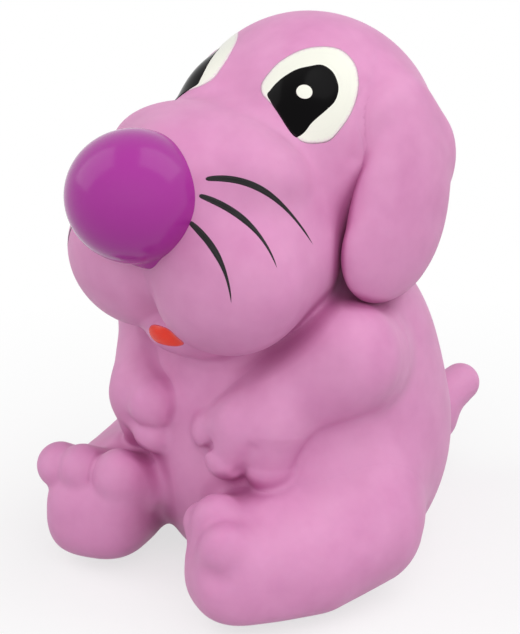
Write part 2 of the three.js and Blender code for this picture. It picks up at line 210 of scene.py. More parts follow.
@dataclass(frozen=True)
class Groove:
    """A soft line pressed into a surface, or raised on it where its depth is below zero.

    Attributes:
        path: the points that it follows.
        depth: how deep it is at its middle.
        width: how far it reaches to each side.
    """

    path: tuple[Triple, ...]
    depth: float
    width: float

    def __call__(self, points: Points) -> Values:
        """How much the groove adds to a field.

        Args:
            points: where to work it out.

        Returns:
            What is added at each point.
        """
        nearest = np.full(len(points), np.inf)
        for start, end in zip(self.path[:-1], self.path[1:]):
            run = np.array(end) - np.array(start)
            offset = points - np.array(start)
            share = np.clip(offset @ run / (run @ run), 0, 1)
            out = offset - share[:, None] * run
            nearest = np.minimum(nearest, np.einsum("ij,ij->i", out, out))
        return self.depth * np.exp(-nearest / self.width**2)


# The puppy's forms


@dataclass(frozen=True)
class Valleys:
    """How far the soft valleys between the puppy's forms reach, in millimetres.

    Attributes:
        waist: between belly and chest.
        elbow: between upper arm and forearm.
        finger: between the fingers.
        hand: between forearm and fingers.
        foot: between thigh, foot and lap.
        toes_left: between the left foot and its toes.
        toes_right: between the right foot and its toes.
        toe_share: the share of it that lies between the toes themselves.
        snout: between muzzle and bridge.
        collar: between muzzle and the rise behind the nose.
        lip: between muzzle and lips.
        face: between skull and muzzle.
        jaw: between face and jaw.
        brow: between face and brows.
        ear: between the forms of an ear.
        tail: between the forms of the tail.
        leg: between belly and legs, at its least and what its outside adds.
        arm: between body and arms, at its least and what its upper end adds.
        neck: between body and head.
    """

    waist: float = 10.0
    elbow: float = 4.0
    finger: float = 0.8
    hand: float = 2.6
    foot: float = 5.0
    toes_left: float = 2.4
    toes_right: float = 1.2
    toe_share: float = 0.7
    snout: float = 8.0
    collar: float = 4.0
    lip: float = 7.0
    face: float = 6.0
    jaw: float = 1.5
    brow: float = 3.0
    ear: float = 3.0
    tail: float = 3.0
    leg: Pair = (3.2, 5.8)
    arm: Pair = (2.0, 1.5)
    neck: float = 2.6


@dataclass(frozen=True)
class PuppyForm:
    """The puppy's body as fields: the forms of its parts and how they melt together.

    An egg has its middle and full size, and a sausage its two ends and diameters. What lies on one side is on
    the left, and the fingers and toes of the right side are given by their mirror image. The spans say where
    a valley goes from its least to its most. The base's radius and edge round the skin off at the floor, and
    sink says how fast a piece dips under its neighbours.
    """

    valleys: Valleys = Valleys()
    belly: Egg = Egg((0, 0.1, 23.6), (58.4, 60.2, 66.6))
    chest: Egg = Egg((0, -1.4, 44.3), (50, 45.6, 40))
    skull: Egg = Egg((0, 3.3, 79.9), (50, 44, 46.8))
    muzzle: Egg = Egg((0, -17.5, 66.0), (46.8, 33.2, 36.8))
    bridge: Egg = Egg((0, -23.7, 80.8), (42.6, 24.8, 20.4))
    collar: Egg = Egg((0, -32.6, 78.1), (25.4, 20, 21.4))
    lip: Egg = Egg((10.4, -29.5, 62.7), (32.3, 24.4, 27.6))
    jaw: Egg = Egg((0, -16.7, 50.9), (25, 39, 15))
    brow: Egg = Egg((8.4, -11.0, 85.8), (18, 16, 21.1), lean=20)
    shoulder: Triple = (20.2, -7.2, 44.3)
    shoulder_diameter: float = 22.0
    elbow: Triple = (22.6, -11.4, 46.1)
    elbow_diameter: float = 19.4
    palm_diameter: float = 13.2
    palm_left: Triple = (13.2, -26.0, 34.4)
    palm_right: Triple = (14.8, -26.0, 32.6)
    fingers_left: tuple[Sausage, ...] = (
        Sausage((12.6, -25.8, 34.4), (5.8, -27.7, 31.8), 12, 8.6),
        Sausage((13.2, -26.2, 34.0), (10.6, -29.0, 28.3), 11, 8.4),
        Sausage((17.0, -24.4, 34.5), (16.8, -25.2, 27.9), 13, 9.0),
    )
    fingers_right: tuple[Sausage, ...] = (
        Sausage((14.6, -26.0, 34.4), (8.3, -29.4, 33.8), 12, 10.2),
        Sausage((14.6, -26.0, 32.0), (8.7, -29.2, 28.0), 10, 8.2),
        Sausage((15.8, -25.2, 32.0), (15.6, -26.0, 26.7), 11, 8.6),
    )
    creases_left: tuple[Groove, ...] = (
        Groove(((9.6, -31.6, 31.0), (7.6, -30.8, 29.2), (5.6, -30.2, 28.6)), 0.9, 1.1),
        Groove(((18.6, -31.0, 32.4), (16.6, -31.2, 29.3), (14.8, -30.2, 26.8)), 0.9, 1.2),
    )
    hip: Triple = (25.2, -9.5, 13.4)
    hip_diameter: float = 23.6
    ankle: Triple = (24.4, -22.5, 10.4)
    ankle_diameter: float = 21.4
    foot: Egg = Egg((19.4, -33.0, 10.2), (20.3, 21.4, 19.2), lean=4, turn=24, square=2.6)
    toes_left: tuple[Sausage, ...] = (
        Sausage((19.5, -32, 13.5), (20.5, -39.2, 16.8), 9.8, 9.4),
        Sausage((14.5, -30, 15.5), (14.9, -35.4, 18.8), 10.6, 10.4),
        Sausage((11.0, -30, 14.5), (10.4, -34.8, 17.2), 9, 7.6),
    )
    toes_right: tuple[Sausage, ...] = (
        Sausage((23.5, -33, 15.5), (25.0, -38.8, 18.8), 9.4, 9.0),
        Sausage((18.5, -32, 16.5), (19.5, -37.9, 19.5), 9.8, 9.4),
        Sausage((12.5, -30, 16.5), (12.1, -35.2, 19.5), 10.8, 10.2),
        Sausage((12.3, -35.0, 18.5), (13.0, -35.4, 12.0), 10.2, 9.4),
    )
    lap: Egg = Egg((16.6, -26.6, 16.6), (18, 13, 11))
    sole_dimple: Groove = Groove(((22.9, -42.6, 15.4), (22.4, -42.9, 14.2)), 2.4, 2.8)
    ear: Sausage = Sausage((22.0, 6.8, 78.5), (24.8, -3.8, 65.6), 22.0, 20.4, 0.39)
    ear_lobe: Egg = Egg((24.2, 1.5, 71.5), (8.9, 22.4, 30.3))
    ear_top: Egg = Egg((20.8, 2.9, 84.3), (9, 16.2, 19), square=2.4)
    ear_crease: Groove = Groove(
        ((18.8, -2.4, 94.2), (20.2, -4.2, 91.0), (21.0, -5.6, 87), (21.2, -7.4, 82.5)), 0.8, 1.7
    )
    tail: Sausage = Sausage((0, 27, 11.8), (0, 48.7, 18.6), 12.5, 8.0)
    tail_heel: Sausage = Sausage((0, 30, 7.8), (0, 41.2, 12.0), 12, 8.2)
    philtrum: tuple[Groove, ...] = (
        Groove(((0, -43, 68), (0, -42, 60)), 0.7, 2.2),
        Groove(((0, -41, 58.5), (0, -36.5, 53.5)), 2.2, 2.6),
    )
    base_radius: float = 5.2
    base_edge: float = 0.5
    sink: float = 0.22
    hip_span: Pair = (13, 21)
    thigh_span: Pair = (7, 14)
    armpit_span: Pair = (34, 50)

    def torso(self, points: Points) -> Values:
        """Belly and chest."""
        return melt(self.valleys.waist, self.belly(points), self.chest(points))

    def arm(self, points: Points, palm: Triple, fingers: tuple[Sausage, ...]) -> Values:
        """An arm with its three fingers, on the left side.

        Args:
            points: where to work it out.
            palm: the middle of its palm.
            fingers: the fingers of this hand.

        Returns:
            The arm's field.
        """
        upper = Sausage(self.shoulder, self.elbow, self.shoulder_diameter, self.elbow_diameter)(points)
        lower = Sausage(self.elbow, palm, self.elbow_diameter, self.palm_diameter)(points)
        hand = melt(self.valleys.finger, *[finger(points) for finger in fingers])
        return melt(self.valleys.hand, melt(self.valleys.elbow, upper, lower), hand)

    def leg(self, points: Points, toes: tuple[Sausage, ...], valley: float, dimpled: bool) -> Values:
        """A leg with its sole and toes, on the left side.

        Args:
            points: where to work it out.
            toes: the toes of this foot.
            valley: how far the toes melt into the foot.
            dimpled: True for a dimple under the toes.

        Returns:
            The leg's field.
        """
        thigh = Sausage(self.hip, self.ankle, self.hip_diameter, self.ankle_diameter)(points)
        foot = melt(self.valleys.foot, thigh, self.foot(points), self.lap(points))
        if dimpled:
            foot = foot + self.sole_dimple(points)
        return melt(valley, foot, melt(valley * self.valleys.toe_share, *[toe(points) for toe in toes]))

    def head(self, points: Points) -> Values:
        """Skull, muzzle, lips, jaw and brows.

        Args:
            points: where to work it out.

        Returns:
            The head's field.
        """
        painted_fold_shade = mirrored(points)
        valleys = self.valleys
        muzzle = melt(valleys.snout, self.muzzle(painted_fold_shade), self.bridge(painted_fold_shade))
        muzzle = melt(valleys.collar, muzzle, self.collar(painted_fold_shade))
        face = melt(valleys.face, self.skull(painted_fold_shade), melt(valleys.lip, muzzle, self.lip(painted_fold_shade)))
        face = face + sum(groove(painted_fold_shade) for groove in (*self.philtrum, self.ear_crease))
        return melt(valleys.brow, melt(valleys.jaw, face, self.jaw(painted_fold_shade)), self.brow(painted_fold_shade))

    def flap(self, points: Points) -> Values:
        """The left ear."""
        return melt(self.valleys.ear, self.ear(points), self.ear_lobe(points), self.ear_top(points))

    def brush(self, points: Points) -> Values:
        """The tail with its thick root."""
        return melt(self.valleys.tail, self.tail(points), self.tail_heel(points))

    def seated(self, points: Points, form: Values) -> Values:
        """A form turned under to the flat base."""
        turned = trimmed(self.base_radius, form, -points[:, 2] - self.base_edge)
        return trimmed(self.base_edge, turned, -points[:, 2])

    def parts(self, points: Points) -> dict[str, Values]:
        """The fields of all parts of the trunk and head, each by itself.

        Args:
            points: where to work them out.

        Returns:
            The fields by the parts' names.
        """
        right = points * MIRROR
        return {
            "torso": self.torso(points),
            "head": self.head(points),
            "arm_left": self.arm(points, self.palm_left, self.fingers_left)
            + sum(groove(points) for groove in self.creases_left),
            "arm_right": self.arm(right, self.palm_right, self.fingers_right),
            "leg_left": self.leg(points, self.toes_left, self.valleys.toes_left, dimpled=True),
            "leg_right": self.leg(right, self.toes_right, self.valleys.toes_right, dimpled=False),
        }

    def joined(self, points: Points, parts: dict[str, Values]) -> Values:
        """The whole skin without ears and tail.

        Args:
            points: where the parts' fields were worked out.
            parts: the parts' fields.

        Returns:
            The skin's field.
        """
        height = points[:, 2]
        legs = np.minimum(parts["leg_left"], parts["leg_right"])
        arms = np.minimum(parts["arm_left"], parts["arm_right"])
        outer = smoothstep(np.abs(points[:, 0]), *self.hip_span) * smoothstep(height, *self.thigh_span)
        least, added = self.valleys.leg
        trunk = melt(least + added * outer, parts["torso"], legs)
        least, added = self.valleys.arm
        trunk = melt(least + added * smoothstep(height, *self.armpit_span), trunk, arms)
        return melt(self.valleys.neck, self.seated(points, trunk), parts["head"])

    def piece(self, name: str, points: Points) -> Values:
        """The field of one piece, which dips under its neighbours where they take over.

        Args:
            name: the piece's name.
            points: where to work it out.

        Returns:
            The piece's field.
        """
        parts = self.parts(points)
        nearest = np.minimum.reduce(list(parts.values()))
        behind = np.maximum(parts[name] - nearest, 0)
        return self.joined(points, parts) + self.sink * behind * behind

    def whole(self, points: Points) -> Values:
        """The skin without ears and tail."""
        return self.joined(points, self.parts(points))


@dataclass(frozen=True)
class Growth:
    """A piece that grows out of the skin.

    Attributes:
        body: the puppy's forms.
        form: the piece's own form.
        depth: how far the valley around it reaches.
        share: 1 where it takes the valley along, and 0 where it lies loose on the skin.
    """

    body: PuppyForm
    form: Field
    depth: Field
    share: Field

    def __call__(self, points: Points) -> Values:
        """The piece's field, which dips under the skin inside it.

        Args:
            points: where to work it out.

        Returns:
            The field's values.
        """
        whole = self.body.whole(points)
        own = self.form(points)
        reach = self.depth(points)
        behind = np.maximum(own - whole - reach, 0)
        grown = melt(reach, whole, own) + self.body.sink * behind * behind
        return own + (grown - own) * self.share(points)


def level(value: float) -> Field:
    """A field that is the same everywhere."""
    return lambda points: np.full(len(points), value)


# Meshes


def in_threads(form: Field, points: Points) -> Values:
    """Works out a field on several threads.

    Args:
        form: the field.
        points: where to work it out.

    Returns:
        The field's values.
    """
    chunks = np.array_split(points, max(THREADS, len(points) // CHUNK))
    with ThreadPoolExecutor(THREADS) as pool:
        return np.concatenate(list(pool.map(form, chunks)))


def indices(counts: Iterable[int]) -> Points:
    """The indices of all points of a lattice, as rows of three."""
    return np.stack(np.meshgrid(*[np.arange(count) for count in counts], indexing="ij"), -1).reshape(-1, 3)


@dataclass(frozen=True)
class SkinMesher:
    """Makes a closed mesh of quads that lies on the surface of a field.

    Attributes:
        low: the low corner of the box that holds the surface.
        high: the high corner of that box.
        spacing: the side of a quad.
        block: lattice points along a block that is left out where the surface isn't near.
        margin: how many blocks away the surface still counts as near.
        probe: the step that a slope is measured over, as a share of a quad's side.
        flattest: the least square of a slope that a step onto the surface goes by.
        relaxations: how often the quads are evened out.
        ease: how far a point goes each time towards the middle of its neighbours.
    """

    low: Triple
    high: Triple
    spacing: float = 0.4
    block: int = 8
    margin: float = 1.8
    probe: float = 0.1
    flattest: float = 0.05
    relaxations: int = 3
    ease: float = 0.6

    def lattice(self, form: Field) -> Values:
        """Works out a field on the box's lattice, exactly near its surface alone.

        Args:
            form: the field.

        Returns:
            The values along the three axes.
        """
        low = np.array(self.low, float)
        blocks = np.ceil((np.array(self.high) - np.array(self.low)) / self.spacing / self.block).astype(int)
        index = indices(blocks)
        coarse = in_threads(form, low + (index * self.block + (self.block - 1) / 2) * self.spacing)
        near = np.abs(coarse) < self.block * self.spacing * self.margin
        steps = indices([self.block] * 3)
        points = low + (index[near][:, None] * self.block + steps) * self.spacing
        values = np.repeat(coarse[:, None], self.block**3, 1)
        values[near] = in_threads(form, points.reshape(-1, 3)).reshape(-1, self.block**3)
        cube = values.reshape(*blocks, self.block, self.block, self.block)
        return cube.transpose(0, 3, 1, 4, 2, 5).reshape(*(blocks * self.block))

    def slope(self, form: Field, points: Points) -> tuple[Values, Points]:
        """Measures a field and its slope.

        Args:
            form: the field.
            points: where to measure.

        Returns:
            The field's values and its slopes.
        """
        corners = np.array([[1, -1, -1], [-1, -1, 1], [-1, 1, -1], [1, 1, 1]], float)
        step = self.spacing * self.probe
        samples = [in_threads(form, points + corner * step) for corner in corners]
        slope = sum(value[:, None] * corner for value, corner in zip(samples, corners)) / (4 * step)
        return sum(samples) / 4, slope

    def settle(self, form: Field, points: Points, times: int) -> Points:
        """Moves points onto the surface.

        Args:
            form: the field.
            points: the points.
            times: how many steps they take.

        Returns:
            The moved points.
        """
        for _ in range(times):
            value, slope = self.slope(form, points)
            square = np.maximum(np.einsum("ij,ij->i", slope, slope), self.flattest)
            step = np.clip(value / square, -self.spacing, self.spacing)
            points = points - step[:, None] * slope
        return points

    def crossings(self, grid: Values, axis: int) -> tuple[Points, Values, Quads]:
        """Finds where the surface crosses the lattice along one axis.

        Args:
            grid: the field on the lattice.
            axis: 0, 1 or 2.

        Returns:
            The crossings in lattice steps, which of their quads are turned round, and the four cells around
            each.
        """
        here = [slice(1, -1)] * 3
        there = list(here)
        here[axis], there[axis] = slice(0, -1), slice(1, None)
        ahead, second, third = np.roll(np.eye(3, dtype=int), -axis, 0)
        start = np.argwhere((grid < 0)[tuple(here)] != (grid < 0)[tuple(there)]) + (1 - ahead)
        a, b = grid[tuple(start.T)], grid[tuple((start + ahead).T)]
        spots = start + (a / (a - b))[:, None] * ahead
        ring = [start - second - third, start - third, start, start - second]
        return spots, a > 0, np.stack([np.ravel_multi_index(tuple(cell.T), grid.shape) for cell in ring], 1)

    def surface(self, form: Field) -> tuple[Points, Quads]:
        """Meshes the surface of a field.

        Args:
            form: the field.

        Returns:
            The points, and the quads as rows of four indices with their faces outwards.
        """
        grid = self.lattice(form)
        found = [self.crossings(grid, axis) for axis in range(3)]
        spots, flips, cells = (np.concatenate(rows) for rows in zip(*found))
        _, quads = np.unique(cells, return_inverse=True)
        quads = quads.reshape(-1, 4)
        share = 1 / np.bincount(quads.ravel())
        points = np.stack([np.bincount(quads.ravel(), np.repeat(spots[:, i], 4)) * share for i in range(3)], 1)
        quads[flips] = quads[flips][:, ::-1]
        points = self.settle(form, np.array(self.low) + points * self.spacing, 2)
        return self.relax(form, points, quads), quads

    def relax(self, form: Field, points: Points, quads: Quads) -> Points:
        """Evens out the quads on the surface.

        Args:
            form: the field.
            points: the points on its surface.
            quads: the quads between them.

        Returns:
            The moved points.
        """
        turned = np.roll(quads, -1, 1)
        starts, ends = np.concatenate([quads, turned]).ravel(), np.concatenate([turned, quads]).ravel()
        share = 1 / np.bincount(starts, minlength=len(points))
        for _ in range(self.relaxations):
            sums = np.stack([np.bincount(starts, points[ends, i], len(points)) for i in range(3)], 1)
            points = points + self.ease * (sums * share[:, None] - points)
            points = self.settle(form, points, 1)
        return self.settle(form, points, 1)


def mesh_object(name: str, points: Points, faces: Iterable[Sequence[int]], mirror: bool = False) -> Piece:
    """A smooth mesh object in metres.

    Args:
        name: the piece's name.
        points: its points in millimetres.
        faces: its faces, facing outwards.
        mirror: True for its mirror image across the middle of the puppy.

    Returns:
        The object, linked to the scene.
    """
    if mirror:
        points = points * MIRROR
        faces = [list(face)[::-1] for face in faces]
    mesh = bpy.data.meshes.new(name)
    mesh.from_pydata((points * MM).tolist(), [], [list(map(int, face)) for face in faces])
    mesh.shade_smooth()
    mesh.update()
    piece = bpy.data.objects.new(name, mesh)
    bpy.context.scene.collection.objects.link(piece)
    return piece


def store(piece: Piece, name: str, values: Values) -> None:
    """Keeps a value for each point of a piece as an attribute that materials read."""
    layer = piece.data.attributes.new(name, "FLOAT", "POINT")
    layer.data.foreach_set("value", values.astype(np.float32))


# Node trees and finishes


class Wiring:
    """Adds nodes to a tree and joins their sockets."""

    def __init__(self, tree: Tree) -> None:
        """Starts on a tree."""
        self.tree = tree

    def fill(self, node: Node, inputs: dict) -> None:
        """Gives a node's sockets their values.

        Args:
            node: the node.
            inputs: for each socket's name or number, a value or the socket that makes it.
        """
        for key, value in inputs.items():
            if isinstance(value, Socket):
                self.tree.links.new(value, node.inputs[key])
            else:
                node.inputs[key].default_value = value

    def add(self, kind: str, inputs: dict | None = None, **settings: object) -> Node:
        """Adds a node.

        Args:
            kind: the node's type name.
            inputs: what fill takes.
            settings: the node's own properties.

        Returns:
            The node.
        """
        node = self.tree.nodes.new(kind)
        for key, value in settings.items():
            setattr(node, key, value)
        self.fill(node, inputs or {})
        return node

    def maths(self, operation: str, *values: object, clamp: bool = False) -> Socket:
        """The result of a sum on numbers or sockets."""
        node = self.add("ShaderNodeMath", dict(enumerate(values)), operation=operation, use_clamp=clamp)
        return node.outputs[0]

    def plus(self, first: object, second: object) -> Socket:
        """Two numbers or sockets added."""
        return self.maths("ADD", first, second)

    def minus(self, first: object, second: object) -> Socket:
        """The second number or socket taken from the first."""
        return self.maths("SUBTRACT", first, second)

    def times(self, first: object, second: object) -> Socket:
        """Two numbers or sockets multiplied."""
        return self.maths("MULTIPLY", first, second)

    def vector(self, operation: str, *values: object) -> Socket:
        """The result of a sum on vectors."""
        node = self.add("ShaderNodeVectorMath", dict(enumerate(values)), operation=operation)
        return node.outputs["Value" if operation in ("DOT_PRODUCT", "LENGTH") else "Vector"]

    def scaled(self, vector: Socket, scale: object) -> Socket:
        """A vector made longer or shorter."""
        inputs = {0: vector, "Scale": scale}
        return self.add("ShaderNodeVectorMath", inputs, operation="SCALE").outputs["Vector"]

    def attribute(self, name: str) -> Socket:
        """The value that a piece keeps under a name."""
        return self.add("ShaderNodeAttribute", attribute_name=name).outputs["Fac"]

    def noise(self, size: Socket, detail: float, roughness: float = 0.5) -> Socket:
        """Noise that keeps to the piece.

        Args:
            size: the size of its grains, in millimetres.
            detail: how many finer layers it has.
            roughness: how much those count.

        Returns:
            Its value.
        """
        place = self.add("ShaderNodeTexCoord").outputs["Object"]
        scale = self.maths("DIVIDE", 1 / MM, size)
        inputs = {"Vector": place, "Scale": scale, "Detail": detail, "Roughness": roughness}
        return self.add("ShaderNodeTexNoise", inputs).outputs[0]

    def showing(self) -> Socket:
        """A mask of the rays that show the background: straight, mirrored or through glass.

        Returns:
            The mask.
        """
        path = self.add("ShaderNodeLightPath").outputs
        turned = self.maths("MAXIMUM", path["Is Glossy Ray"], path["Is Transmission Ray"])
        return self.maths("MAXIMUM", path["Is Camera Ray"], turned)

    def spread(self, value: object, low: object, high: float, to_low: float = 0, to_high: float = 1) -> Socket:
        """A value carried from one range to another, and held at its ends."""
        inputs = {"Value": value, "From Min": low, "From Max": high, "To Min": to_low, "To Max": to_high}
        return self.add("ShaderNodeMapRange", inputs, clamp=True).outputs[0]

    def mixed(self, share: object, first: object, second: object) -> Socket:
        """Mixes two colours.

        Args:
            share: how much of the second it takes.
            first: the first colour.
            second: the second colour.

        Returns:
            The mixed colour.
        """
        node = self.add("ShaderNodeMix", data_type="RGBA")
        places = {socket.identifier: place for place, socket in enumerate(node.inputs)}
        self.fill(node, {places["Factor_Float"]: share, places["A_Color"]: first, places["B_Color"]: second})
        return next(socket for socket in node.outputs if socket.identifier == "Result_Color")


def colour(code: str) -> tuple[float, float, float, float]:
    """A colour from its six digits, as linear red, green, blue and alpha."""
    parts = [int(code[i : i + 2], 16) / 255 for i in (0, 2, 4)]
    return (*(c / 12.92 if c <= 0.04045 else ((c + 0.055) / 1.055) ** 2.4 for c in parts), 1.0)


FLOAT, VECTOR = "NodeSocketFloat", "NodeSocketVector"
Sockets = dict[str, tuple[str, object]]


def node_group(kind: str, name: str, inputs: Sockets, outputs: dict[str, str]) -> tuple[Wiring, dict, Node]:
    """A new tree of nodes with named inputs and outputs.

    Args:
        kind: the tree's type name.
        name: its name.
        inputs: for each input its socket type and its value, or None where it has none.
        outputs: for each output its socket type.

    Returns:
        The tree's wiring, its input sockets by name and the node that takes its outputs.
    """
    tree = bpy.data.node_groups.new(name, kind)
    for key, (socket_kind, value) in inputs.items():
        socket = tree.interface.new_socket(name=key, in_out="INPUT", socket_type=socket_kind)
        if value is not None:
            socket.default_value = value
    for key, socket_kind in outputs.items():
        tree.interface.new_socket(name=key, in_out="OUTPUT", socket_type=socket_kind)
    wiring = Wiring(tree)
    entry, leave = wiring.add("NodeGroupInput"), wiring.add("NodeGroupOutput")
    return wiring, {socket.name: socket for socket in entry.outputs if socket.name}, leave


def grain_group() -> Tree:
    """Fine orange peel with broader unevenness, as cast latex and thick paint show.

    Returns:
        The group.
    """
    inputs = {"Fine Size": (FLOAT, 0.4), "Broad Size": (FLOAT, 5.0), "Fine Share": (FLOAT, 0.3)}
    outputs = {"Height": FLOAT, "Mottle": FLOAT}
    wiring, given, leave = node_group("ShaderNodeTree", "surface_grain", inputs, outputs)
    fine = wiring.times(wiring.noise(given["Fine Size"], 2.0), given["Fine Share"])
    broad = wiring.noise(given["Broad Size"], 3.0)
    wiring.fill(leave, {"Height": wiring.plus(fine, broad), "Mottle": wiring.spread(broad, 0.3, 0.7)})
    return wiring.tree


def bloom_group() -> Tree:
    """Patches where latex has gone a little chalky, more on what faces up.

    Returns:
        The group.
    """
    inputs = {"Patch Size": (FLOAT, 16.0), "Amount": (FLOAT, 0.5)}
    wiring, given, leave = node_group("ShaderNodeTree", "latex_bloom", inputs, {"Mask": FLOAT})
    patches = wiring.spread(wiring.noise(given["Patch Size"], 4.0, 0.6), 0.38, 0.68)
    normal = wiring.add("ShaderNodeNewGeometry").outputs["Normal"]
    height = wiring.add("ShaderNodeSeparateXYZ", {0: normal}).outputs["Z"]
    upward = wiring.spread(height, -0.6, 0.9, 0.35, 1.0)
    wiring.fill(leave, {"Mask": wiring.times(wiring.times(patches, upward), given["Amount"])})
    return wiring.tree


def rim_group() -> Tree:
    """Where a coat of paint thins out: along its rim, and in streaks of the brush.

    Returns:
        The group.
    """
    inputs = {
        "Rim Start": (FLOAT, 0.9),
        "Rim Raggedness": (FLOAT, 0.12),
        "Ragged Size": (FLOAT, 0.5),
        "Streaks": (FLOAT, 0.3),
        "Streaks Along": (FLOAT, 3.0),
        "Streaks Across": (FLOAT, 14.0),
    }
    outputs = {"Thin": FLOAT, "Streak": FLOAT}
    wiring, given, leave = node_group("ShaderNodeTree", "paint_rim", inputs, outputs)
    rim = wiring.attribute("rim")
    ragged = wiring.minus(wiring.noise(given["Ragged Size"], 3.0), 0.5)
    shifted = wiring.plus(rim, wiring.times(ragged, given["Rim Raggedness"]))
    along = wiring.times(wiring.attribute("along"), given["Streaks Along"])
    across = wiring.times(rim, given["Streaks Across"])
    brushed = wiring.add("ShaderNodeCombineXYZ", {0: along, 1: across}).outputs[0]
    lines = wiring.add("ShaderNodeTexNoise", {"Vector": brushed, "Scale": 1.0, "Detail": 2.0}).outputs[0]
    streak = wiring.times(wiring.spread(lines, 0.45, 0.75), given["Streaks"])
    wiring.fill(leave, {"Thin": wiring.spread(shifted, given["Rim Start"], 1.0), "Streak": streak})
    return wiring.tree


class Shared:
    """The shader groups that several finishes use, each built once."""

    grain: Tree
    bloom: Tree
    rim: Tree

    @classmethod
    def build(cls) -> None:
        """Builds the groups."""
        cls.grain, cls.bloom, cls.rim = grain_group(), bloom_group(), rim_group()


@dataclass(frozen=True)
class Grain:
    """How uneven a surface is.

    Attributes:
        fine: the size of its fine grain, in millimetres.
        broad: the size of its broad grain, in millimetres.
        strength: how much of it shows.
        depth: its depth, in millimetres.
        fine_share: how much the fine grain counts.
    """

    fine: float
    broad: float
    strength: float
    depth: float
    fine_share: float = 0.3

    def on(self, wiring: Wiring) -> tuple[Socket, Socket]:
        """Adds the grain to a material.

        Args:
            wiring: the material's wiring.

        Returns:
            Its mottle and the normal that it bends.
        """
        inputs = {"Fine Size": self.fine, "Broad Size": self.broad, "Fine Share": self.fine_share}
        grain = wiring.add("ShaderNodeGroup", inputs, node_tree=Shared.grain).outputs
        relief = {"Height": grain["Height"], "Strength": self.strength, "Distance": self.depth * MM}
        return grain["Mottle"], wiring.add("ShaderNodeBump", relief).outputs[0]


def new_material(name: str) -> tuple[bpy.types.Material, Wiring, Node]:
    """Starts a material.

    Args:
        name: its name.

    Returns:
        The material, its wiring and its principled shader.
    """
    material = bpy.data.materials.new(name)
    material.use_nodes = True
    shader = next(node for node in material.node_tree.nodes if node.type == "BSDF_PRINCIPLED")
    return material, Wiring(material.node_tree), shader


@dataclass(frozen=True)
class LatexFinish:
    """Dyed latex with a satin skin, and painted shade that darkens its folds.

    Attributes:
        name: the material's name.
        body: the latex's colour.
        fold: the darker colour painted into the folds as shade, which the mottle also takes from.
        bloom: the colour of the chalky bloom.
        roughness: of the clean skin.
        bloom_roughness: what the bloom adds to it.
        fold_roughness: what a fold adds to it.
        mottle: how much of the deeper colour its mottle takes.
        bloom_share: how much of the bloom's colour shows.
        fold_share: how much of that painted shade colour a full fold takes.
        fold_span: the shade of a fold where its colour begins and where it is full.
        specular: how strongly the skin mirrors, 0.5 for a plain varnish.
        soft_share: how much light goes through the skin.
        soft_reach: how far it goes, in millimetres.
        soft_colours: the shares of that reach for red, green and blue.
        grain: its orange peel.
    """

    name: str = "latex_pink"
    body: str = "DA92C0"
    fold: str = "A03A7C"
    bloom: str = "EAB4D3"
    roughness: float = 0.46
    bloom_roughness: float = 0.14
    fold_roughness: float = 0.12
    mottle: float = 0.16
    bloom_share: float = 0.5
    fold_share: float = 0.6
    fold_span: Pair = (0.3, 0.95)
    specular: float = 0.32
    soft_share: float = 0.12
    soft_reach: float = 1.6
    soft_colours: Triple = (1.0, 0.45, 0.6)
    grain: Grain = Grain(0.35, 6.0, 0.35, 0.05)

    def build(self) -> bpy.types.Material:
        """Builds the material.

        Returns:
            The material.
        """
        material, wiring, shader = new_material(self.name)
        mottle, normal = self.grain.on(wiring)
        bloom = wiring.add("ShaderNodeGroup", node_tree=Shared.bloom).outputs["Mask"]
        # Painted shade: the fold attribute says how enclosed the skin is, and the latex colour darkens there.
        fold = wiring.attribute("fold")
        base = wiring.mixed(wiring.times(mottle, self.mottle), colour(self.body), colour(self.fold))
        chalky = wiring.mixed(wiring.times(bloom, self.bloom_share), base, colour(self.bloom))
        painted_fold_shade = wiring.spread(fold, *self.fold_span, 0.0, self.fold_share)
        rough = wiring.plus(self.roughness, wiring.times(bloom, self.bloom_roughness))
        wiring.fill(shader, {
            "Base Color": wiring.mixed(painted_fold_shade, chalky, colour(self.fold)),
            "Roughness": wiring.plus(rough, wiring.times(fold, self.fold_roughness)),
            "Normal": normal,
            "Specular IOR Level": self.specular,
            "Subsurface Weight": self.soft_share,
            "Subsurface Radius": self.soft_colours,
            "Subsurface Scale": self.soft_reach * MM,
        })
        return material


@dataclass(frozen=True)
class PaintFinish:
    """A coat of paint on latex.

    Attributes:
        name: the material's name.
        body: the paint's colour.
        thin: its colour where the coat thins out.
        worn: its colour along the brush's streaks.
        roughness: of the paint.
        rim_start: how far out the thin rim begins, as a share.
        streaks: how much the brush's streaks show.
        specular: how strongly the paint mirrors, 0.5 for a plain varnish.
        thin_share: how much of the latex shows at the very rim.
        streak_roughness: what a streak adds to its roughness.
        grain: its unevenness.
    """

    name: str
    body: str
    thin: str
    worn: str
    roughness: float
    rim_start: float = 0.93
    streaks: float = 0.3
    specular: float = 0.45
    thin_share: float = 0.7
    streak_roughness: float = 0.2
    grain: Grain = Grain(0.5, 2.5, 0.2, 0.04, 0.15)

    def build(self) -> bpy.types.Material:
        """Builds the material.

        Returns:
            The material.
        """
        material, wiring, shader = new_material(self.name)
        inputs = {"Rim Start": self.rim_start, "Streaks": self.streaks}
        rim = wiring.add("ShaderNodeGroup", inputs, node_tree=Shared.rim).outputs
        base = wiring.mixed(rim["Streak"], colour(self.body), colour(self.worn))
        wiring.fill(shader, {
            "Base Color": wiring.mixed(wiring.times(rim["Thin"], self.thin_share), base, colour(self.thin)),
            "Roughness": wiring.plus(self.roughness, wiring.times(rim["Streak"], self.streak_roughness)),
            "Normal": self.grain.on(wiring)[1],
            "Specular IOR Level": self.specular,
        })
        return material


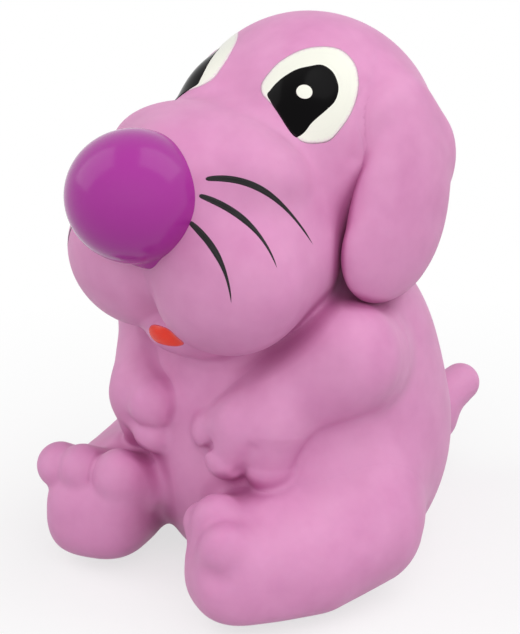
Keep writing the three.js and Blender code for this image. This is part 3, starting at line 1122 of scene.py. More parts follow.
@dataclass(frozen=True)
class PlasticFinish:
    """Moulded or sheet plastic.

    Attributes:
        name: the material's name.
        body: the plastic's colour.
        dull: its colour where it is scuffed.
        roughness: of the plastic.
        scuffs: how much of the dull colour its mottle takes.
        scuff_roughness: what the mottle adds to its roughness.
        grain: its unevenness.
    """

    name: str
    body: str
    dull: str
    roughness: float
    scuffs: float = 0.4
    scuff_roughness: float = 0.12
    grain: Grain = Grain(0.25, 3.0, 0.2, 0.03)

    def build(self) -> bpy.types.Material:
        """Builds the material.

        Returns:
            The material.
        """
        material, wiring, shader = new_material(self.name)
        mottle, normal = self.grain.on(wiring)
        wiring.fill(shader, {
            "Base Color": wiring.mixed(
                wiring.times(mottle, self.scuffs), colour(self.body), colour(self.dull)
            ),
            "Roughness": wiring.plus(self.roughness, wiring.times(mottle, self.scuff_roughness)),
            "Normal": normal,
        })
        return material


class Slot(Enum):
    """The record's material slots with their finishes."""

    LATEX = ("pink_latex", LatexFinish())
    NOSE = ("nose_paint", PaintFinish(
        "paint_purple", "A52E96", "C25CB0", "B03EA2", 0.18, rim_start=0.97, streaks=0.12, specular=0.28
    ))
    WHITE = ("white_paint", PaintFinish("paint_white", "ECECE0", "E3BBD6", "E4E4DA", 0.3))
    BLACK = ("black_paint", PaintFinish(
        "paint_black", "050405", "2A1F26", "0A090A", 0.16, rim_start=0.94, streaks=0.0, specular=0.06
    ))
    BRUSHED = ("black_paint", PaintFinish(
        "paint_black_brushed", "0C0A0C", "54424E", "4E4A4E", 0.3, rim_start=0.88, streaks=0.75, specular=0.25
    ))
    RED = ("red_paint", PaintFinish(
        "paint_red", "EA2C10", "D0506A", "F04A2A", 0.18, rim_start=0.85, specular=0.4
    ))
    PLASTIC = ("white_plastic", PlasticFinish("plastic_white", "E9E6DE", "D6D1C4", 0.4))
    REED = ("reed_plastic", PlasticFinish("plastic_reed", "D9C9A0", "C4B184", 0.35))

    def __init__(self, slot: str, finish: LatexFinish | PaintFinish | PlasticFinish) -> None:
        """Keeps the slot's name and its finish."""
        self.slot = slot
        self.finish = finish

    def material(self) -> bpy.types.Material:
        """The slot's material, built when it is first asked for."""
        return bpy.data.materials.get(self.finish.name) or self.finish.build()


def dress(piece: Piece, slot: Slot, *nodes: str) -> None:
    """Gives a piece its finish and hides the CAD nodes that it stands for.

    Args:
        piece: the piece.
        slot: its slot with its finish.
        nodes: the CAD nodes that it replaces, or none where it is one itself.
    """
    piece.data.materials.clear()
    piece.data.materials.append(slot.material())
    if nodes:
        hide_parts(*nodes)
    log.info("%s: %d points, %d faces", piece.name, len(piece.data.vertices), len(piece.data.polygons))


# Skins


BODY_SKINS = {
    "torso": SkinMesher((-33, -33, -2), (33, 33, 68), 0.55),
    "arm_left": SkinMesher((0.4, -38, 16), (37, 10, 66)),
    "arm_right": SkinMesher((-37, -37.9, 16), (-0.4, 10, 66)),
    "leg_left": SkinMesher((2, -48, -2), (39, 16, 40)),
    "leg_right": SkinMesher((-39, -48, -2), (-2, 16, 40)),
    "head": SkinMesher((-29, -44, 41), (29, 28, 106), 0.5),
}


@dataclass(frozen=True)
class Skins:
    """The latex skins of trunk, head and limbs.

    Attributes:
        form: the puppy's fields.
        neck: the height that would move as far as the head when it is pressed; not used.
        stroke: how far the head would be pressed; not used.
        bore: diameters and depths of the squeaker's pocket, from the base up.
        bore_edge: the radius of the pocket's edges.
        ear_mesher: what meshes the left ear.
        ear_valley: how far the valley round an ear reaches in front, what its top adds, and what its back adds
            to that.
        ear_height: where the top's share begins and is full.
        ear_back: where the back's share begins and is full.
        ear_loose: the heights that an ear lies loose below, and takes its valley along above.
        ear_bend: where an ear's bend would begin and end on the left, in metres; not used.
        tail_mesher: what meshes the tail.
        tail_valley: how far the valley round the tail reaches.
        fold_reaches: how far the shade in a fold is felt for.
        fold_gain: how fast it deepens.
        fold_free: how much of it the open skin has.
    """

    form: PuppyForm = PuppyForm()
    neck: float = 58.0
    stroke: float = 12.0
    bore: tuple[Pair, ...] = ((22.6, 2.5), (18.6, 14.4))
    bore_edge: float = 0.8
    ear_mesher: SkinMesher = SkinMesher((10, -22, 50), (33, 24, 104))
    ear_valley: Triple = (0.6, 1.4, 5.0)
    ear_height: Pair = (80, 96)
    ear_back: Pair = (-2, 7)
    ear_loose: Pair = (76, 88)
    ear_bend: tuple[Triple, Triple] = ((0.024, 0.002, 0.090), (0.024, 0.0, 0.074))
    tail_mesher: SkinMesher = SkinMesher((-12, 14, 0), (12, 56, 28))
    tail_valley: float = 3.0
    fold_reaches: tuple[float, ...] = (1.2, 2.5, 5.0, 9.0)
    fold_gain: float = 1.3
    fold_free: float = 0.12

    def all_round(self, points: Points) -> Values:
        """The whole outer skin, ears and tail too, for the shade in its folds."""
        whole = np.minimum(self.form.whole(points), self.form.flap(mirrored(points)))
        return np.minimum(whole, self.form.brush(points))

    def pocket(self, points: Points) -> Values:
        """The squeaker's pocket in the base."""
        radius, height = np.hypot(points[:, 0], points[:, 1]), points[:, 2]
        return np.minimum.reduce([np.maximum(radius - wide / 2, height - deep) for wide, deep in self.bore])

    def torso_field(self, points: Points) -> Values:
        """The torso with its pocket."""
        return trimmed(self.bore_edge, self.form.piece("torso", points), -self.pocket(points))

    def ear_depth(self, points: Points) -> Values:
        """How far the valley round the ear reaches: wide over its top and back, a tight crease in front.

        Args:
            points: where to work it out.

        Returns:
            The reach at each point.
        """
        crease, top, back = self.ear_valley
        behind = smoothstep(points[:, 1], *self.ear_back)
        return crease + smoothstep(points[:, 2], *self.ear_height) * (top + back * behind)

    def ear_share(self, points: Points) -> Values:
        """How much of that valley the ear takes along."""
        return smoothstep(points[:, 2], *self.ear_loose)

    def shade(self, mesher: SkinMesher, points: Points) -> Values:
        """How deep each point lies in a fold, from 0 in the open to 1: the painted shade that darkens the
        latex there.

        Args:
            mesher: what the points were meshed by.
            points: points on the skin.

        Returns:
            The shade at each point.
        """
        _, slope = mesher.slope(self.all_round, points)
        normal = slope / np.maximum(np.linalg.norm(slope, axis=1), NEAR_ZERO)[:, None]
        shade = np.zeros(len(points))
        for reach in self.fold_reaches:
            shade += np.clip(1 - in_threads(self.all_round, points + normal * reach) / reach, 0, 1)
        return np.clip(shade / len(self.fold_reaches) * self.fold_gain - self.fold_free, 0, 1)

    def skin(self, name: str, form: Field, mesher: SkinMesher, mirror: bool = False) -> Piece:
        """Makes a piece of skin with the shade of its folds.

        Args:
            name: the piece's name.
            form: its field.
            mesher: what meshes it.
            mirror: True for a twin on the right as well.

        Returns:
            The piece.
        """
        points, quads = mesher.surface(form)
        shade = self.shade(mesher, points)
        piece = mesh_object(name, points, quads)
        # The fold attribute carries painted shade into the latex colour.
        store(piece, "fold", shade)
        if mirror:
            twin = mesh_object(name.replace("left", "right"), points, quads, mirror=True)
            store(twin, "fold", shade)
        return piece

    def build(self) -> None:
        """Makes and dresses all skins."""
        for node, mesher in BODY_SKINS.items():
            form = self.torso_field if node == "torso" else partial(self.form.piece, node)
            self.skin(f"{node}_skin", form, mesher)
        for node in ("torso", "arm_left", "arm_right", "leg_left", "leg_right"):
            piece = bpy.data.objects[f"{node}_skin"]
            dress(piece, Slot.LATEX, node)
            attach(piece, "body")
            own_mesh(piece)
        head = bpy.data.objects["head_skin"]
        dress(head, Slot.LATEX, "head")
        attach(head, "head")
        self.ears()
        self.tail()

    def ears(self) -> None:
        """Makes and dresses the two ears."""
        form = Growth(self.form, self.form.flap, self.ear_depth, self.ear_share)
        self.skin("ear_left_flap", form, self.ear_mesher, mirror=True)
        for side, sign in (("left", 1), ("right", -1)):
            piece = bpy.data.objects[f"ear_{side}_flap"]
            dress(piece, Slot.LATEX, f"ear_{side}")
            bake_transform(piece)

    def tail(self) -> None:
        """Makes and dresses the tail."""
        form = Growth(self.form, self.form.brush, level(self.tail_valley), level(1.0))
        piece = self.skin("tail_skin", form, self.tail_mesher)
        dress(piece, Slot.LATEX, "tail")
        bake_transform(piece)


@dataclass(frozen=True)
class Nose:
    """The glossy ball of the nose with its drip of paint.

    Attributes:
        ball: the ball.
        drip: the drip below it.
        valley: how far the valley between them reaches.
        mesher: what meshes them.
    """

    ball: Egg = Egg((0, -41.0, 77.8), (24.4, 24.4, 23.5))
    drip: Egg = Egg((1.3, -39.1, 67.3), (9.4, 6, 5.4))
    valley: float = 2.0
    mesher: SkinMesher = SkinMesher((-14, -55, 60), (14, -27, 92))

    def distance(self, points: Points) -> Values:
        """The nose as a field."""
        return melt(self.valley, self.ball(points), self.drip(points))

    def build(self) -> None:
        """Makes and dresses the nose."""
        points, quads = self.mesher.surface(self.distance)
        piece = mesh_object("nose_ball", points, quads)
        dress(piece, Slot.NOSE, "nose")
        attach(piece, "head")


# Paint that follows the skin


LINE_SAMPLES = 400
WELD = 0.002 * MM
COAT_INPUTS = {
    "Line": ("NodeSocketObject", None),
    "Skin": ("NodeSocketObject", None),
    "Gaze": (VECTOR, (0.0, -1.0, 0.0)),
    "Lift": (FLOAT, 0.06 * MM),
    "Sink": (FLOAT, 0.15 * MM),
    "Reach": (FLOAT, 60 * MM),
    "Along": ("NodeSocketInt", 96),
    "Across": ("NodeSocketInt", 24),
    "Paint": ("NodeSocketMaterial", None),
}


class Coat:
    """What all coats of paint share: a grid is laid over a line, thrown onto the skin and given thickness."""

    def __init__(self, name: str, extra: Sockets) -> None:
        """Starts the tree of one kind of coat.

        Args:
            name: the tree's name.
            extra: the inputs that it has besides those of all coats.
        """
        outputs = {"Geometry": "NodeSocketGeometry"}
        made = node_group("GeometryNodeTree", name, COAT_INPUTS | extra, outputs)
        self.wiring, self.given, self.leave = made
        wiring, given = self.wiring, self.given
        along = wiring.plus(given["Along"], 1)
        across = wiring.plus(wiring.times(given["Across"], 2), 1)
        sizes = {"Size X": 1.0, "Size Y": 1.0, "Vertices X": along, "Vertices Y": across}
        self.grid = wiring.add("GeometryNodeMeshGrid", sizes).outputs["Mesh"]
        place = wiring.add("ShaderNodeSeparateXYZ", {0: wiring.add("GeometryNodeInputPosition").outputs[0]})
        self.along = wiring.maths("ADD", place.outputs[0], 0.5, clamp=True)
        around = wiring.times(wiring.plus(place.outputs[1], 0.5), 2.0)
        self.on_top = wiring.maths("LESS_THAN", around, 1.0)
        self.share = wiring.minus(1.0, wiring.maths("ABSOLUTE", wiring.minus(1.0, around)))

    def line(self, closed: bool) -> Node:
        """Smooths the line and samples it along the grid.

        Args:
            closed: True for an outline.

        Returns:
            The node that samples it.
        """
        wiring = self.wiring
        source = wiring.add("GeometryNodeObjectInfo", {0: self.given["Line"]}, transform_space="RELATIVE")
        curve = wiring.add("GeometryNodeMeshToCurve", {0: source.outputs["Geometry"]}).outputs[0]
        smooth = wiring.add("GeometryNodeCurveSplineType", {0: curve}, spline_type="CATMULL_ROM").outputs[0]
        if closed:
            smooth = wiring.add("GeometryNodeSetSplineCyclic", {0: smooth, "Cyclic": True}).outputs[0]
        fine = wiring.add("GeometryNodeResampleCurve", {0: smooth, "Count": LINE_SAMPLES}).outputs[0]
        inputs = {"Curves": fine, "Factor": self.along}
        return wiring.add("GeometryNodeSampleCurve", inputs, mode="FACTOR", use_all_curves=True)

    def finish(self, flat: Socket, rise: Socket, rim: Socket) -> Tree:
        """Throws the flat grid onto the skin, lifts it, and closes and paints it.

        Args:
            flat: where each point lies in the plane of the line.
            rise: its height as a share of the coat's.
            rim: how near it is to the rim of the coat.

        Returns:
            The finished tree.
        """
        wiring, given = self.wiring, self.given
        skin = wiring.add("GeometryNodeObjectInfo", {0: given["Skin"]}, transform_space="RELATIVE")
        ray = wiring.add("GeometryNodeRaycast", {
            "Target Geometry": skin.outputs["Geometry"],
            "Source Position": wiring.vector("ADD", flat, wiring.scaled(given["Gaze"], given["Reach"])),
            "Ray Direction": wiring.scaled(given["Gaze"], -1.0),
            "Ray Length": wiring.times(given["Reach"], 3.0),
        }).outputs
        above = wiring.times(given["Lift"], self.on_top)
        below = wiring.times(given["Sink"], wiring.minus(1.0, self.on_top))
        height = wiring.times(wiring.minus(above, below), rise)
        place = wiring.vector("ADD", ray["Hit Position"], wiring.scaled(ray["Hit Normal"], height))
        named = self.grid
        kind = {"data_type": "FLOAT", "domain": "POINT"}
        for name, value in (("rim", rim), ("along", self.along)):
            keep = {"Geometry": named, "Name": name, "Value": value}
            named = wiring.add("GeometryNodeStoreNamedAttribute", keep, **kind).outputs[0]
        moved = wiring.add("GeometryNodeSetPosition", {"Geometry": named, "Position": place}).outputs[0]
        welded = wiring.add("GeometryNodeMergeByDistance", {"Geometry": moved, "Distance": WELD}).outputs[0]
        smooth = wiring.add("GeometryNodeSetShadeSmooth", {"Geometry": welded}).outputs[0]
        real = wiring.add("GeometryNodeRealizeInstances", {0: smooth}).outputs[0]
        painted = wiring.add("GeometryNodeSetMaterial", {"Geometry": real, "Material": given["Paint"]})
        wiring.fill(self.leave, {"Geometry": painted.outputs[0]})
        return wiring.tree


def patch_tree() -> Tree:
    """A patch of paint inside a closed line, with a rounded rim.

    Returns:
        The tree.
    """
    coat = Coat("paint_patch", {"Centre": (VECTOR, (0.0, 0.0, 0.0)), "Rim": (FLOAT, 0.05)})
    wiring, given = coat.wiring, coat.given
    spoke = wiring.vector("SUBTRACT", coat.line(closed=True).outputs["Position"], given["Centre"])
    flat = wiring.vector("ADD", given["Centre"], wiring.scaled(spoke, coat.share))
    inward = wiring.maths("DIVIDE", wiring.minus(1.0, coat.share), given["Rim"], clamp=True)
    edge = wiring.minus(1.0, inward)
    rise = wiring.maths("SQRT", wiring.minus(1.0, wiring.times(edge, edge)))
    return coat.finish(flat, rise, coat.share)


def stroke_tree(width_shares: Outline) -> Tree:
    """A stroke of the brush along a line, which swells and tapers.

    Args:
        width_shares: its width as a share of its full one, along its length.

    Returns:
        The tree.
    """
    coat = Coat("brush_stroke", {"Width": (FLOAT, 1.15 * MM), "Steepness": (FLOAT, 3.0)})
    wiring, given = coat.wiring, coat.given
    line = coat.line(closed=False)
    side = wiring.vector("NORMALIZE", wiring.vector("CROSS_PRODUCT", given["Gaze"], line.outputs["Tangent"]))
    taper = wiring.add("ShaderNodeFloatCurve", {"Value": coat.along})
    curve = taper.mapping.curves[0]
    curve.points[0].location, curve.points[1].location = width_shares[0], width_shares[-1]
    for share in width_shares[1:-1]:
        curve.points.new(*share)
    taper.mapping.update()
    width = taper.outputs[0]
    across = wiring.minus(wiring.times(coat.share, 2.0), 1.0)
    half = wiring.times(wiring.times(given["Width"], 0.5), width)
    flat = wiring.vector("ADD", line.outputs["Position"], wiring.scaled(side, wiring.times(across, half)))
    rise = wiring.maths("SQRT", wiring.maths("MAXIMUM", wiring.minus(1.0, wiring.times(across, across)), 0.0))
    rise = wiring.times(rise, wiring.maths("MULTIPLY", width, given["Steepness"], clamp=True))
    return coat.finish(flat, rise, wiring.maths("ABSOLUTE", across))


@dataclass(frozen=True)
class View:
    """A plane in front of the skin, as one looks straight at it.

    Attributes:
        heart: the plane's middle.
        yaw: degrees that it looks out to the puppy's left.
        pitch: degrees that it looks up.
    """

    heart: Triple
    yaw: float
    pitch: float

    @property
    def gaze(self) -> Vector:
        """The direction that the plane looks in."""
        yaw, pitch = math.radians(self.yaw), math.radians(self.pitch)
        return Vector((math.sin(yaw) * math.cos(pitch), -math.cos(yaw) * math.cos(pitch), math.sin(pitch)))

    def place(self, out: float, up: float) -> Vector:
        """A point of the plane, in millimetres."""
        right = Vector((math.cos(math.radians(self.yaw)), math.sin(math.radians(self.yaw)), 0))
        return Vector(self.heart) + right * out + self.gaze.cross(right) * up


@dataclass(frozen=True)
class Mark:
    """One painted mark on the left side, and its twin on the right.

    Attributes:
        name: its name on the left.
        node: the CAD node that it stands for.
        slot: its finish.
        line: its outline or its stroke's line, in the plane of its view.
        lift: its thickness.
        closed: True for a patch and False for a stroke.
        paired: False where there is only the one.
        shift: how far its twin lies out and up of its mirror image, as it is laid on by hand.
    """

    name: str
    node: str
    slot: Slot
    line: Outline
    lift: float = 0.06
    closed: bool = True
    paired: bool = True
    shift: Pair = (0.0, 0.0)


def circle(out: float, up: float, diameter: float, count: int = 24) -> Outline:
    """A round outline."""
    turns = [2 * math.pi * i / count for i in range(count)]
    return tuple((out + math.cos(t) * diameter / 2, up + math.sin(t) * diameter / 2) for t in turns)


def between(
    start: Pair | Points, middle: Pair | Points, end: Pair | Points, share: float
) -> tuple[float, ...]:
    """A point of the bent line that runs from start to end and is drawn towards its middle point."""
    s = share
    return tuple((1 - s) ** 2 * a + 2 * s * (1 - s) * b + s * s * c for a, b, c in zip(start, middle, end))


@dataclass(frozen=True)
class FacePaint:
    """The painted eyes, whiskers and tongue.

    Attributes:
        eye: the plane that an eye is drawn in.
        cheek: the plane that the whiskers are drawn in.
        mouth: the plane that the tongue is drawn in.
        white: the outline of the white of the eye.
        pupil: the outline of the pupil.
        glint: the white dot: out, up and its diameter.
        tongue: the outline of the tongue.
        whiskers: for each stroke its start, the point that it is drawn towards and its end.
        whisker_steps: how many steps a stroke's line has.
        width_shares: a stroke's width along its length.
        patch_grid: how many quads a patch has along its rim and across.
        stroke_grid: how many quads a stroke has along it and across.
    """

    eye: View = View((8, -9.5, 86.3), 51, 48)
    cheek: View = View((11.6, -29.3, 69.6), 45, 21)
    mouth: View = View((1.4, -16.7, 50.9), 0, 0)
    white: Outline = (
        (-6.1, 4.3), (-4.7, 6.4), (-2.5, 8.5), (1.2, 10.2), (4.8, 10.6), (8.3, 9.8), (10.5, 6.9), (11.1, 3.1),
        (10.4, -0.3), (9.0, -3.3), (7.0, -5.8), (5.1, -7.5), (2.7, -8.3), (0.5, -8.5), (-0.9, -7.7),
        (-3.2, -3.9), (-5.3, -0.2), (-6.2, 1.9),
    )
    pupil: Outline = (
        (-5.4, 0.7), (-4.8, 2.1), (-2.9, 3.9), (0, 5.6), (2.5, 6.2), (4.7, 6.4), (6.4, 5.0), (7.2, 3.0),
        (7.3, 1.0), (6.4, -1.2), (4.5, -3.1), (2.0, -5.3), (0.5, -7.0), (-0.9, -7.8), (-2.0, -6.8),
        (-3.5, -3.9),
    )
    glint: Triple = (1.0, 0.3, 2.9)
    tongue: Outline = (
        (-4, 0.3), (-2.8, 1.5), (0, 1.7), (2.8, 1.0), (4, -0.4), (2.8, -1.4), (0, -1.7), (-2.8, -1.4),
    )
    whiskers: tuple[Outline, ...] = (
        ((-3.9, 10.1), (7.0, 11.3), (14.6, -0.8)),
        ((-5.0, 7.3), (5.1, 3.9), (8.3, -5.2)),
        ((-6.7, 2.8), (-0.1, -3.0), (0.5, -11.2)),
    )
    whisker_steps: int = 12
    width_shares: Outline = (
        (0, 0.3), (0.02, 0.66), (0.08, 0.86), (0.2, 1.0), (0.4, 0.98), (0.55, 0.76), (0.7, 0.48), (0.9, 0.25),
        (1, 0),
    )
    patch_grid: tuple[int, int] = (120, 28)
    stroke_grid: tuple[int, int] = (64, 8)

    def marks(self) -> list[tuple[View, Mark]]:
        """Draws all marks of the left side and the tongue.

        Returns:
            The marks with the planes that they are drawn in.
        """
        white = Mark("eye_left_white", "eye_white_left", Slot.WHITE, self.white, 0.07, shift=(0, -1.6))
        pupil = Mark("eye_left_pupil", "pupil_left", Slot.BLACK, self.pupil, 0.13, shift=(0, -1.6))
        glint = Mark("eye_left_glint", "glint_left", Slot.WHITE, circle(*self.glint), 0.19, shift=(2.6, -1.4))
        tongue = Mark("tongue_paint", "tongue", Slot.RED, self.tongue, 0.1, paired=False)
        cheeks = []
        for number, ends in enumerate(self.whiskers, 1):
            line = tuple(between(*ends, i / self.whisker_steps) for i in range(self.whisker_steps + 1))
            node = f"whisker_left_{number}"
            cheeks.append((self.cheek, Mark(f"{node}_stroke", node, Slot.BRUSHED, line, 0.08, closed=False)))
        return [(self.eye, white), (self.eye, pupil), (self.eye, glint), *cheeks, (self.mouth, tongue)]

    def build(self) -> None:
        """Makes and dresses all marks."""
        trees = {True: patch_tree(), False: stroke_tree(self.width_shares)}
        for view, mark in self.marks():
            for side in ("left", "right") if mark.paired else ("left",):
                self.lay(trees[mark.closed], view, mark, side)

    def lay(self, tree: Tree, view: View, mark: Mark, side: str) -> None:
        """Lays one mark on the skin.

        Args:
            tree: the coat's nodes.
            view: the plane that the mark is drawn in.
            mark: the mark.
            side: left or right.
        """
        flip = Vector((-1 if side == "right" else 1, 1, 1))
        away, rise = mark.shift if side == "right" else (0, 0)
        ends = [view.place(out + away, up + rise) * flip * MM for out, up in mark.line]
        lines = bpy.data.meshes.new("line")
        count = len(ends)
        lines.from_pydata(ends, [(i, (i + 1) % count) for i in range(count if mark.closed else count - 1)], [])
        line = bpy.data.objects.new("line", lines)
        name = mark.name.replace("left", side)
        carrier = bpy.data.objects.new(name, bpy.data.meshes.new(name))
        for thing in (line, carrier):
            bpy.context.scene.collection.objects.link(thing)
        along, across = self.patch_grid if mark.closed else self.stroke_grid
        piece = baked(carrier, tree, {
            "Line": line,
            "Skin": bpy.data.objects["head_skin"],
            "Gaze": view.gaze * flip,
            "Lift": mark.lift * MM,
            "Along": along,
            "Across": across,
            "Paint": mark.slot.material(),
            "Centre": sum(ends, Vector()) / count,
        })
        bpy.data.objects.remove(line)
        dress(piece, mark.slot, mark.node.replace("left", side))
        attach(piece, "head")


def baked(carrier: Piece, tree: Tree, values: dict[str, object]) -> Piece:
    """Runs a tree of geometry nodes on an object and leaves the plain mesh that it makes.

    Args:
        carrier: the object, whose own mesh is empty.
        tree: the tree.
        values: the values of its inputs by name.

    Returns:
        The object with its new mesh, its faces outwards.
    """
    modifier = carrier.modifiers.new("shape", "NODES")
    modifier.node_group = tree
    for item in tree.interface.items_tree:
        if item.in_out == "INPUT" and item.name in values:
            modifier[item.identifier] = values[item.name]
    bpy.context.view_layer.update()
    graph = bpy.context.evaluated_depsgraph_get()
    shaped = carrier.evaluated_get(graph)
    mesh = bpy.data.meshes.new_from_object(shaped, preserve_all_data_layers=True, depsgraph=graph)
    carrier.modifiers.clear()
    carrier.data = mesh
    mesh.name = carrier.name
    corners = np.array([v.co for v in mesh.vertices]).reshape(-1, 3)
    mesh.calc_loop_triangles()
    triangles = np.array([t.vertices[:] for t in mesh.loop_triangles]).reshape(-1, 3)
    a, b, c = (corners[triangles[:, i]] - corners.mean(0) for i in range(3))
    if np.einsum("ij,ij->", a, np.cross(b, c)) < 0:
        mesh.flip_normals()
    return carrier


# Squeaker


@dataclass(frozen=True)
class Squeaker:
    """The plastic squeaker in the base.

    Attributes:
        profile: the cup's outline from its axis round its wall and back, radius and height.
        edge: the radius of its rounded edges.
        sides: how many sides it is turned with.
        arc: where the points of a rounded edge lie, as shares of it.
    """

    profile: Outline = (
        (1.2, 1.0), (2.0, 1.25), (6.2, 1.25), (6.7, 1.0), (7.6, 1.0), (8.1, 1.25), (9.6, 1.25), (10.1, 1.0),
        (11.0, 1.0), (11.0, 2.2), (9.0, 2.2), (9.0, 12.0), (7.8, 12.0), (7.8, 2.2), (1.2, 2.2),
    )
    edge: float = 0.2
    sides: int = 96
    arc: tuple[float, ...] = (0, 0.33, 0.67, 1)

    def rounded(self) -> Points:
        """Rounds the outline's corners.

        Returns:
            The rounded outline.
        """
        outline = np.array(self.profile)
        points = []
        for before, corner, after in zip(np.roll(outline, 1, 0), outline, np.roll(outline, -1, 0)):
            back, ahead = before - corner, after - corner
            reach = min(self.edge, np.linalg.norm(back) / 3, np.linalg.norm(ahead) / 3)
            start = corner + back / np.linalg.norm(back) * reach
            end = corner + ahead / np.linalg.norm(ahead) * reach
            points += [between(start, corner, end, share) for share in self.arc]
        return np.array(points)

    def build(self) -> None:
        """Turns the cup and dresses the pieces inside it."""
        radius, height = self.rounded().T
        turns = np.linspace(0, 2 * math.pi, self.sides, endpoint=False)
        rings = [np.stack([radius * math.cos(t), radius * math.sin(t), height], 1) for t in turns]
        count = len(radius)
        faces = []
        for i in range(self.sides):
            here, there = i * count, (i + 1) % self.sides * count
            for j in range(count):
                above = (j + 1) % count
                faces.append((here + j, there + j, there + above, here + above))
        cup = mesh_object("squeaker_cup_shell", np.concatenate(rings), faces)
        dress(cup, Slot.PLASTIC, "squeaker_cup")
        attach(cup, "body")
        inside = {"squeaker_seat": Slot.PLASTIC, "squeaker_cap": Slot.PLASTIC, "squeaker_reed": Slot.REED}
        for node, slot in inside.items():
            dress(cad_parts[node], slot)


# Studio


@dataclass(frozen=True)
class Softbox:
    """A soft lamp.

    Attributes:
        name: its name.
        side: where it stands, as seen by the camera: right, up and towards it.
        away: its distance from the puppy, in metres.
        size: its width and height, in metres.
        power: its watts.
    """

    name: str
    side: Triple
    away: float
    size: Pair
    power: float


@dataclass(frozen=True)
class Glow:
    """A broad soft light of the surroundings, strongest from one side.

    Attributes:
        side: where it comes from, as seen by the camera: right, up and towards it.
        strength: its brightness in its middle.
    """

    side: Triple
    strength: float


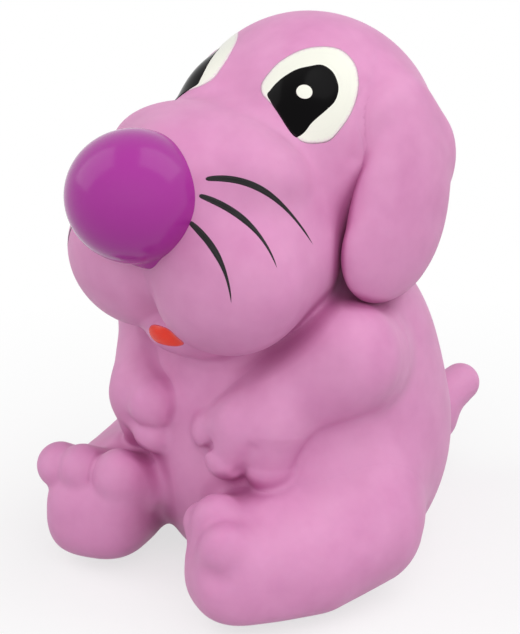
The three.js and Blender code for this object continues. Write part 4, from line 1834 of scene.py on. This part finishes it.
@dataclass(frozen=True)
class Studio:
    """Floor, lamps, white surroundings and the camera.

    Attributes:
        azimuth: degrees that the camera stands round to the puppy's left.
        elevation: degrees that it looks down.
        away: its distance, in metres.
        lens: its focal length, in millimetres.
        aim: the point that it looks at, in millimetres.
        sensor: the width of its film, in millimetres.
        lamps: the softboxes.
        glows: the lights of the surroundings.
        ground: half the floor's width, in millimetres.
        fade: how far from the puppy the floor begins to turn white and where it has, in metres.
        white_share: how white it is before that.
        shade: the floor's grey where it throws light back at the puppy.
        pale: its grey where it is seen.
        roughness: of the floor.
    """

    azimuth: float = 45.13
    elevation: float = 19.58
    away: float = 0.42
    lens: float = 128.3
    aim: Triple = (1.54, -11.73, 48.57)
    sensor: float = 36.0
    lamps: tuple[Softbox, ...] = (
        Softbox("left_softbox", (-0.77, 0.62, 0.11), 0.5, (0.36, 0.49), 0.68),
        Softbox("right_softbox", (0.53, 0.80, 0.28), 0.5, (0.36, 0.49), 0.78),
    )
    glows: tuple[Glow, ...] = (
        Glow((-0.9, 0.3, 0), 0.42),
        Glow((0.9, 0.3, 0), 0.8),
        Glow((0, -0.05, 0.95), 1.75),
    )
    ground: float = 3000.0
    fade: Pair = (0.05, 0.15)
    white_share: float = 0.68
    shade: float = 0.5
    pale: float = 0.95
    roughness: float = 0.9

    def axes(self) -> tuple[Vector, Vector, Vector]:
        """Works out how the camera stands.

        Returns:
            Its right, up and backward directions.
        """
        turn, tilt = math.radians(self.azimuth), math.radians(self.elevation)
        back = Vector((math.sin(turn) * math.cos(tilt), -math.cos(turn) * math.cos(tilt), math.sin(tilt)))
        right = Vector((math.cos(turn), math.sin(turn), 0))
        return right, back.cross(right), back

    def towards(self, side: Triple) -> Vector:
        """A direction that is given as the camera sees it: right, up and towards it."""
        right, up, back = self.axes()
        return (right * side[0] + up * side[1] + back * side[2]).normalized()

    def camera(self) -> None:
        """Sets up the camera."""
        right, up, back = self.axes()
        data = bpy.data.cameras.new("camera")
        data.lens, data.sensor_width, data.clip_start = self.lens, self.sensor, 10 * MM
        eye = bpy.data.objects.new("camera", data)
        rotation = Matrix((right, up, back)).transposed().to_4x4()
        eye.matrix_world = Matrix.Translation(Vector(self.aim) * MM + back * self.away) @ rotation
        bpy.context.scene.collection.objects.link(eye)
        bpy.context.scene.camera = eye

    def softboxes(self) -> None:
        """Hangs the lamps."""
        for lamp in self.lamps:
            data = bpy.data.lights.new(lamp.name, "AREA")
            data.shape, data.energy = "RECTANGLE", lamp.power
            data.size, data.size_y = lamp.size
            thing = bpy.data.objects.new(lamp.name, data)
            direction = self.towards(lamp.side)
            thing.location = Vector(self.aim) * MM + direction * lamp.away
            thing.rotation_euler = direction.to_track_quat("Z", "Y").to_euler()
            thing.visible_camera = False
            bpy.context.scene.collection.objects.link(thing)

    def surroundings(self) -> None:
        """Lights the surroundings, which are plain white where they are seen."""
        world = bpy.data.worlds.new("studio")
        world.use_nodes = True
        bpy.context.scene.world = world
        wiring = Wiring(world.node_tree)
        world.node_tree.nodes.clear()
        place = wiring.add("ShaderNodeTexCoord").outputs["Object"]
        strength = 0.0
        for glow in self.glows:
            side = wiring.vector("DOT_PRODUCT", place, self.towards(glow.side))
            facing = wiring.maths("MAXIMUM", side, 0.0)
            strength = wiring.plus(strength, wiring.times(wiring.times(facing, facing), glow.strength))
        soft = wiring.add("ShaderNodeBackground", {"Color": (1, 1, 1, 1), "Strength": strength})
        white = wiring.add("ShaderNodeBackground", {"Color": (1, 1, 1, 1), "Strength": 1.0})
        both = wiring.add(
            "ShaderNodeMixShader", {0: wiring.showing(), 1: soft.outputs[0], 2: white.outputs[0]}
        )
        wiring.add("ShaderNodeOutputWorld", {0: both.outputs[0]})

    def floor(self) -> None:
        """Lays the pale floor, which fades to white away from the puppy."""
        side = self.ground
        corners = np.array([(-side, -side, 0), (side, -side, 0), (side, side, 0), (-side, side, 0)])
        ground = mesh_object("floor", corners, [(0, 1, 2, 3)])
        material, wiring, shader = new_material("floor_white")
        place = wiring.add("ShaderNodeTexCoord").outputs["Object"]
        far = wiring.spread(wiring.vector("LENGTH", place), *self.fade, self.white_share, 1.0)
        seen = wiring.showing()
        pale = wiring.mixed(seen, (*[self.shade] * 3, 1), (*[self.pale] * 3, 1))
        wiring.fill(shader, {"Base Color": pale, "Roughness": self.roughness})
        white = wiring.add("ShaderNodeEmission", {"Color": (1, 1, 1, 1), "Strength": 1.0}).outputs[0]
        share = wiring.times(seen, far)
        both = wiring.add("ShaderNodeMixShader", {0: share, 1: shader.outputs[0], 2: white})
        output = next(node for node in wiring.tree.nodes if node.type == "OUTPUT_MATERIAL")
        wiring.fill(output, {0: both.outputs[0]})
        ground.data.materials.append(material)

    def build(self) -> None:
        """Sets up the whole studio."""
        bpy.context.scene.view_settings.view_transform = "Standard"
        self.camera()
        self.softboxes()
        self.surroundings()
        self.floor()


def main() -> None:
    """Builds the puppy and its studio."""
    Studio().build()
    Shared.build()
    Skins().build()
    Nose().build()
    FacePaint().build()
    Squeaker().build()


if __name__ == "__main__":
    main()
